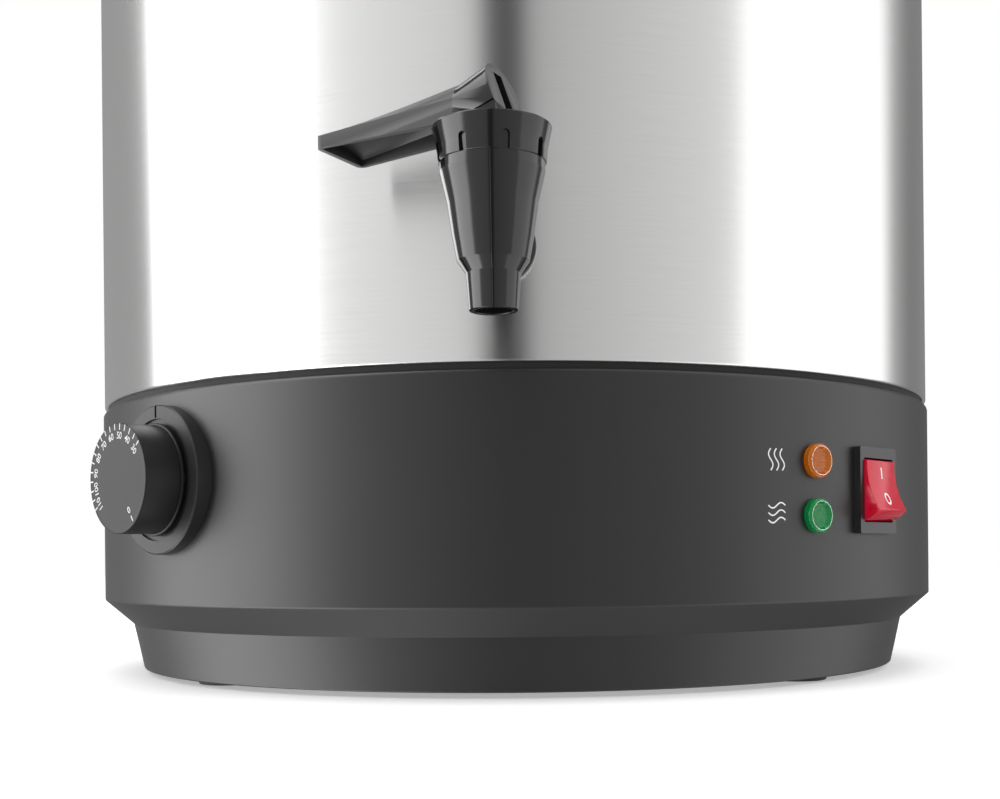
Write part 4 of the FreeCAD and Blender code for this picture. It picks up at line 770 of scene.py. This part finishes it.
# The tap's spout is one gloss black moulding: a round body that narrows to a tip, and a
# shank with a flange that passes through both walls to a nut inside the tank.
TAP_Y = -225.0
TAP_AXIS = 146.0
BODY_TOP = 159.6
spout_side = [
    (15.2, BODY_TOP, 0),
    (15.15, 156.9, 1.2),
    (13.2, 148.5, 16),
    (11.9, 139.5, 30),
    (10.45, 131.8, 0.6),
    (7.95, 128.2, 0.7),
    (7.15, 117.6, 0.35),
]
spout = turned("spout", rounded([(13.2, 163.6, 0), (13.2, BODY_TOP, 0)] + spout_side + [
    (5.6, 117.6, 0.3),
    (5.6, 133.5, 0),
    (8.2, 136.5, 0),
    (10.4, 146.0, 0),
    (10.4, 163.6, 0),
    (13.2, 163.6, 0),
], 6), 128)
settle(spout, Matrix.Translation((0, TAP_Y * MM, 0)))
shank = turned("shank", rounded([
    (5.5, 141.5, 0),
    (8.0, 141.5, 0.5),
    (8.0, 181.4, 0),
    (12.0, 181.4, 0.4),
    (12.0, 184.4, 0.6),
    (10.4, 184.9, 0.8),
    (9.0, 204.0, 4),
    (9.0, 214.0, 0),
    (5.5, 214.0, 0),
    (5.5, 141.5, 0),
], 4), 96)
settle(shank, on_wall(0, TAP_AXIS))

bpy.ops.object.select_all(action="DESELECT")
bpy.ops.curve.primitive_nurbs_path_add()
mould_line = bpy.context.object
ridge = rounded(spout_side[:-1] + [(7.15, 117.7, 0)], 6)
spline = mould_line.data.splines[0]
spline.points.add(len(ridge) - len(spline.points))
for point, (radius, height) in zip(spline.points, ridge):
    point.co = (0, (TAP_Y - radius) * MM, height * MM, 1)
spline.order_u = 2
spline.use_endpoint_u = True
mould_line.data.bevel_depth = 0.09 * MM
mould_line.data.bevel_resolution = 1
mould_line.data.resolution_u = 1
mould_line.data.use_fill_caps = True
bpy.ops.object.convert(target="MESH")
mould_line = bpy.context.object
settle(mould_line, Matrix())
spout = joined("spout", [spout, shank, mould_line])


def gloss_plastic(name, colour, roughness):
    """Polished black plastic: flow clouds in its shine and a very slight ripple."""
    finish = Finish(name, IOR=1.43, Coat_Weight=0.12, Coat_Roughness=0.06)
    place = finish.place()
    flow = finish.noise(place, 70.0, 2.0)
    dust = finish.noise(place, 1700.0, 2.0)
    finish.set("Base_Color", finish.blend(tinted(colour, 0.8), tinted(colour, 1.25), flow))
    finish.set("Roughness", flow * 0.05 + dust * 0.03 + (roughness - 0.04))
    finish.set("Normal", finish.bump(flow, 0.03 * MM, 0.5))
    return finish


tap_gloss = gloss_plastic("tap_gloss", (0.0075, 0.0075, 0.008), 0.13)
spout.data.materials.append(tap_gloss.material)
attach(spout, "urn")
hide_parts("tap_body")


# The bonnet is the tap's screw cap: a flared black ring with a thin rim round the lever
# and eight arched notches for grip. It clamps the seat cup's edge onto the body.
NOTCH_RADIUS = 1.2
NOTCH_COUNT = 8
NOTCH_FIRST = 16.0
NOTCH_LEVEL = 165.8
NOTCH_LENGTH = 9.0
NOTCH_LEAN = 8.0
NOTCH_FLOOR = 15.1
CUTTER_DEPTH = 4.0
bonnet = turned("bonnet", rounded([
    (4.5, 164.8, 0),
    (13.25, 164.8, 0),
    (13.25, 159.6, 0),
    (15.6, 159.6, 0.4),
    (15.95, 163.6, 8),
    (17.1, 169.2, 0),
    (17.25, 169.5, 0.1),
    (17.1, 169.8, 0.1),
    (15.95, 169.8, 0.3),
    (15.45, 166.3, 0),
    (4.5, 166.3, 0),
    (4.5, 164.8, 0),
], 5), 160)
bpy.ops.object.select_all(action="DESELECT")
bpy.ops.mesh.primitive_cylinder_add(vertices=32, radius=NOTCH_RADIUS * MM,
                                    depth=CUTTER_DEPTH * MM)
cutter = bpy.context.object
bpy.ops.object.mode_set(mode="EDIT")
bpy.ops.mesh.select_all(action="DESELECT")
bpy.ops.object.mode_set(mode="OBJECT")
for vertex in cutter.data.vertices:
    vertex.select = vertex.co.y < -1e-6
bpy.ops.object.mode_set(mode="EDIT")
bpy.ops.transform.translate(value=(0, -NOTCH_LENGTH * MM, 0))
bpy.ops.object.mode_set(mode="OBJECT")
cutters = []
for i in range(NOTCH_COUNT):
    notch = copy_of(cutter)
    settle(notch, on_wall(NOTCH_FIRST + 360 / NOTCH_COUNT * i, NOTCH_LEVEL)
           @ Matrix.Rotation(math.radians(NOTCH_LEAN), 4, "X")
           @ Matrix.Translation((0, 0, (NOTCH_FLOOR + CUTTER_DEPTH / 2) * MM)))
    cutters.append(notch)
bpy.data.objects.remove(cutter)
cutter = joined("notches", cutters)
grip = bonnet.modifiers.new("grip", "BOOLEAN")
grip.operation = "DIFFERENCE"
grip.solver = "EXACT"
grip.object = cutter
bpy.ops.object.select_all(action="DESELECT")
bonnet.select_set(True)
bpy.context.view_layer.objects.active = bonnet
bpy.ops.object.modifier_apply(modifier="grip")
bpy.data.objects.remove(cutter)
bpy.ops.object.shade_smooth_by_angle(angle=math.radians(32))
settle(bonnet, Matrix.Translation((0, TAP_Y * MM, 0)))
bonnet.data.materials.append(tap_gloss.material)
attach(bonnet, "urn")
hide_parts("tap_bonnet")


# The lever is moulded in one with its cam head, which is polished, while the hollow
# handle has a satin skin. A steel pin joins it to the stem's flat blade.
LEVER_SWING = math.radians(27.0)
HEAD_LENGTH = 8.0
lever = softened("lever_handle", "tap_lever", 0.3, 30)
lever_black = Finish("lever_black", IOR=1.42)
place = lever_black.place()
x, y, z = lever_black.split(place)
reach = x * -math.cos(LEVER_SWING) + (y - TAP_Y * MM) * math.sin(LEVER_SWING)
satin = lever_black.step(reach, (HEAD_LENGTH - 0.2) * MM, (HEAD_LENGTH + 0.4) * MM)
fine = lever_black.noise(place, 2300.0, 2.0)
flow = lever_black.noise(place, 90.0, 2.0)
lever_black.set("Base_Color", lever_black.blend(
    lever_black.blend(grey(0.006), grey(0.010), flow),
    lever_black.blend(grey(0.010), grey(0.017), fine), satin))
lever_black.set("Roughness", flow * 0.05 + fine * 0.06 * satin + satin * 0.22 + 0.10)
lever_black.set("Normal", lever_black.bump(fine * satin, 0.012 * MM))
lever.data.materials.append(lever_black.material)
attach(lever, "lever")
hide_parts("tap_lever")


# Inside the tap a silicone cup closes the outlet, and silicone washers seal the shank
# where it passes through the tank and the jacket.
def silicone(name, colour):
    finish = Finish(name, Subsurface_Weight=0.3, Subsurface_Scale=0.002)
    cloud = finish.noise(finish.place(), 160.0, 2.0)
    finish.set("Base_Color", finish.blend(tinted(colour, 0.9), tinted(colour, 1.05), cloud))
    finish.set("Roughness", cloud * 0.12 + 0.38)
    finish.set("Normal", finish.bump(cloud, 0.02 * MM))
    return finish


cup_silicone = silicone("cup_silicone", (0.74, 0.74, 0.72))
dress(cup_silicone, "seat_cup")
washer_silicone = silicone("washer_silicone", (0.55, 0.54, 0.52))
dress(washer_silicone, "tap_washers")


# Black fittings in satin plastic: the collar that carries the tank, both handles, the
# lid's knob, the shank's nut, and the cable gland with its nut.
collar_black = moulded("collar_black", (0.016, 0.016, 0.017), 0.36, 0.45 * MM, 0.015 * MM)
dress(collar_black, "top_collar")
handle_black = moulded("handle_black", (0.013, 0.013, 0.0135), 0.33, 0.55 * MM, 0.012 * MM)
dress(handle_black, "left_handle", "right_handle", "lid_knob")
nylon_black = moulded("nylon_black", (0.017, 0.017, 0.017), 0.45, 0.35 * MM, 0.01 * MM)
dress(nylon_black, "tap_nut", "cable_gland", "gland_nut")


# The lid is spun from steel sheet, so its brush lines run in rings, and the tank is deep
# drawn, with level lines round its wall.
lid_steel = brushed("lid_steel", (0.72, 0.72, 0.715), 0.26, 0.12, False)
dress(lid_steel, "lid")
tank_steel = brushed("tank_steel", (0.66, 0.66, 0.655), 0.34, 0.152, True)
tank_steel.set("Anisotropic_Rotation", 0.25)
dress(tank_steel, "inner_tank")


# Under the tank: an aluminium heater plate with the heating tube pressed into it, the
# bimetal cut-out, and an aluminised steel shield, with straps of the same sheet.
aluminised = plated("aluminised_sheet", (0.62, 0.63, 0.64), 0.42)
dress(aluminised, "heat_shield", "handle_backings", "thermal_cutout")
cast_aluminium = Finish("cast_aluminium", Metallic=1.0)
cast_grain = cast_aluminium.noise(cast_aluminium.place(), 700.0, 4.0, 0.65)
cast_aluminium.set("Base_Color", cast_aluminium.blend(grey(0.48), grey(0.66), cast_grain))
cast_aluminium.set("Roughness", cast_grain * 0.25 + 0.42)
cast_aluminium.set("Normal", cast_aluminium.bump(cast_grain, 0.05 * MM))
dress(cast_aluminium, "heater_plate")
annealed = plated("annealed_tube", (0.36, 0.35, 0.35), 0.45)
dress(annealed, "heating_element")


# The thermostat: a phenolic case with a brass spindle, and a copper bulb and capillary
# that reach up to the tank's floor.
phenolic = moulded("phenolic", (0.30, 0.22, 0.14), 0.40, 0.6 * MM, 0.015 * MM)
dress(phenolic, "thermostat_body")
brass = plated("turned_brass", (0.72, 0.55, 0.26), 0.30)
dress(brass, "thermostat_spindle")
copper = plated("drawn_copper", (0.80, 0.42, 0.26), 0.34)
dress(copper, "sensor_bulb", "capillary")


# The underside: a coated steel plate with vents, and four rubber feet in its wells, each
# held by a screw up into the base.
coated_steel = Finish("coated_steel", Metallic=0.0)
peel = coated_steel.noise(coated_steel.place(), 800.0, 2.0)
coated_cloud = coated_steel.noise(coated_steel.place(), 30.0, 3.0)
coated_steel.set("Base_Color", coated_steel.blend(grey(0.016), grey(0.026), coated_cloud))
coated_steel.set("Roughness", coated_cloud * 0.15 + 0.36)
coated_steel.set("Normal", coated_steel.bump(peel, 0.03 * MM))
dress(coated_steel, "base_plate")
foot_rubber = moulded("foot_rubber", (0.012, 0.012, 0.012), 0.72, 0.8 * MM, 0.04 * MM)
dress(foot_rubber, "rubber_feet")
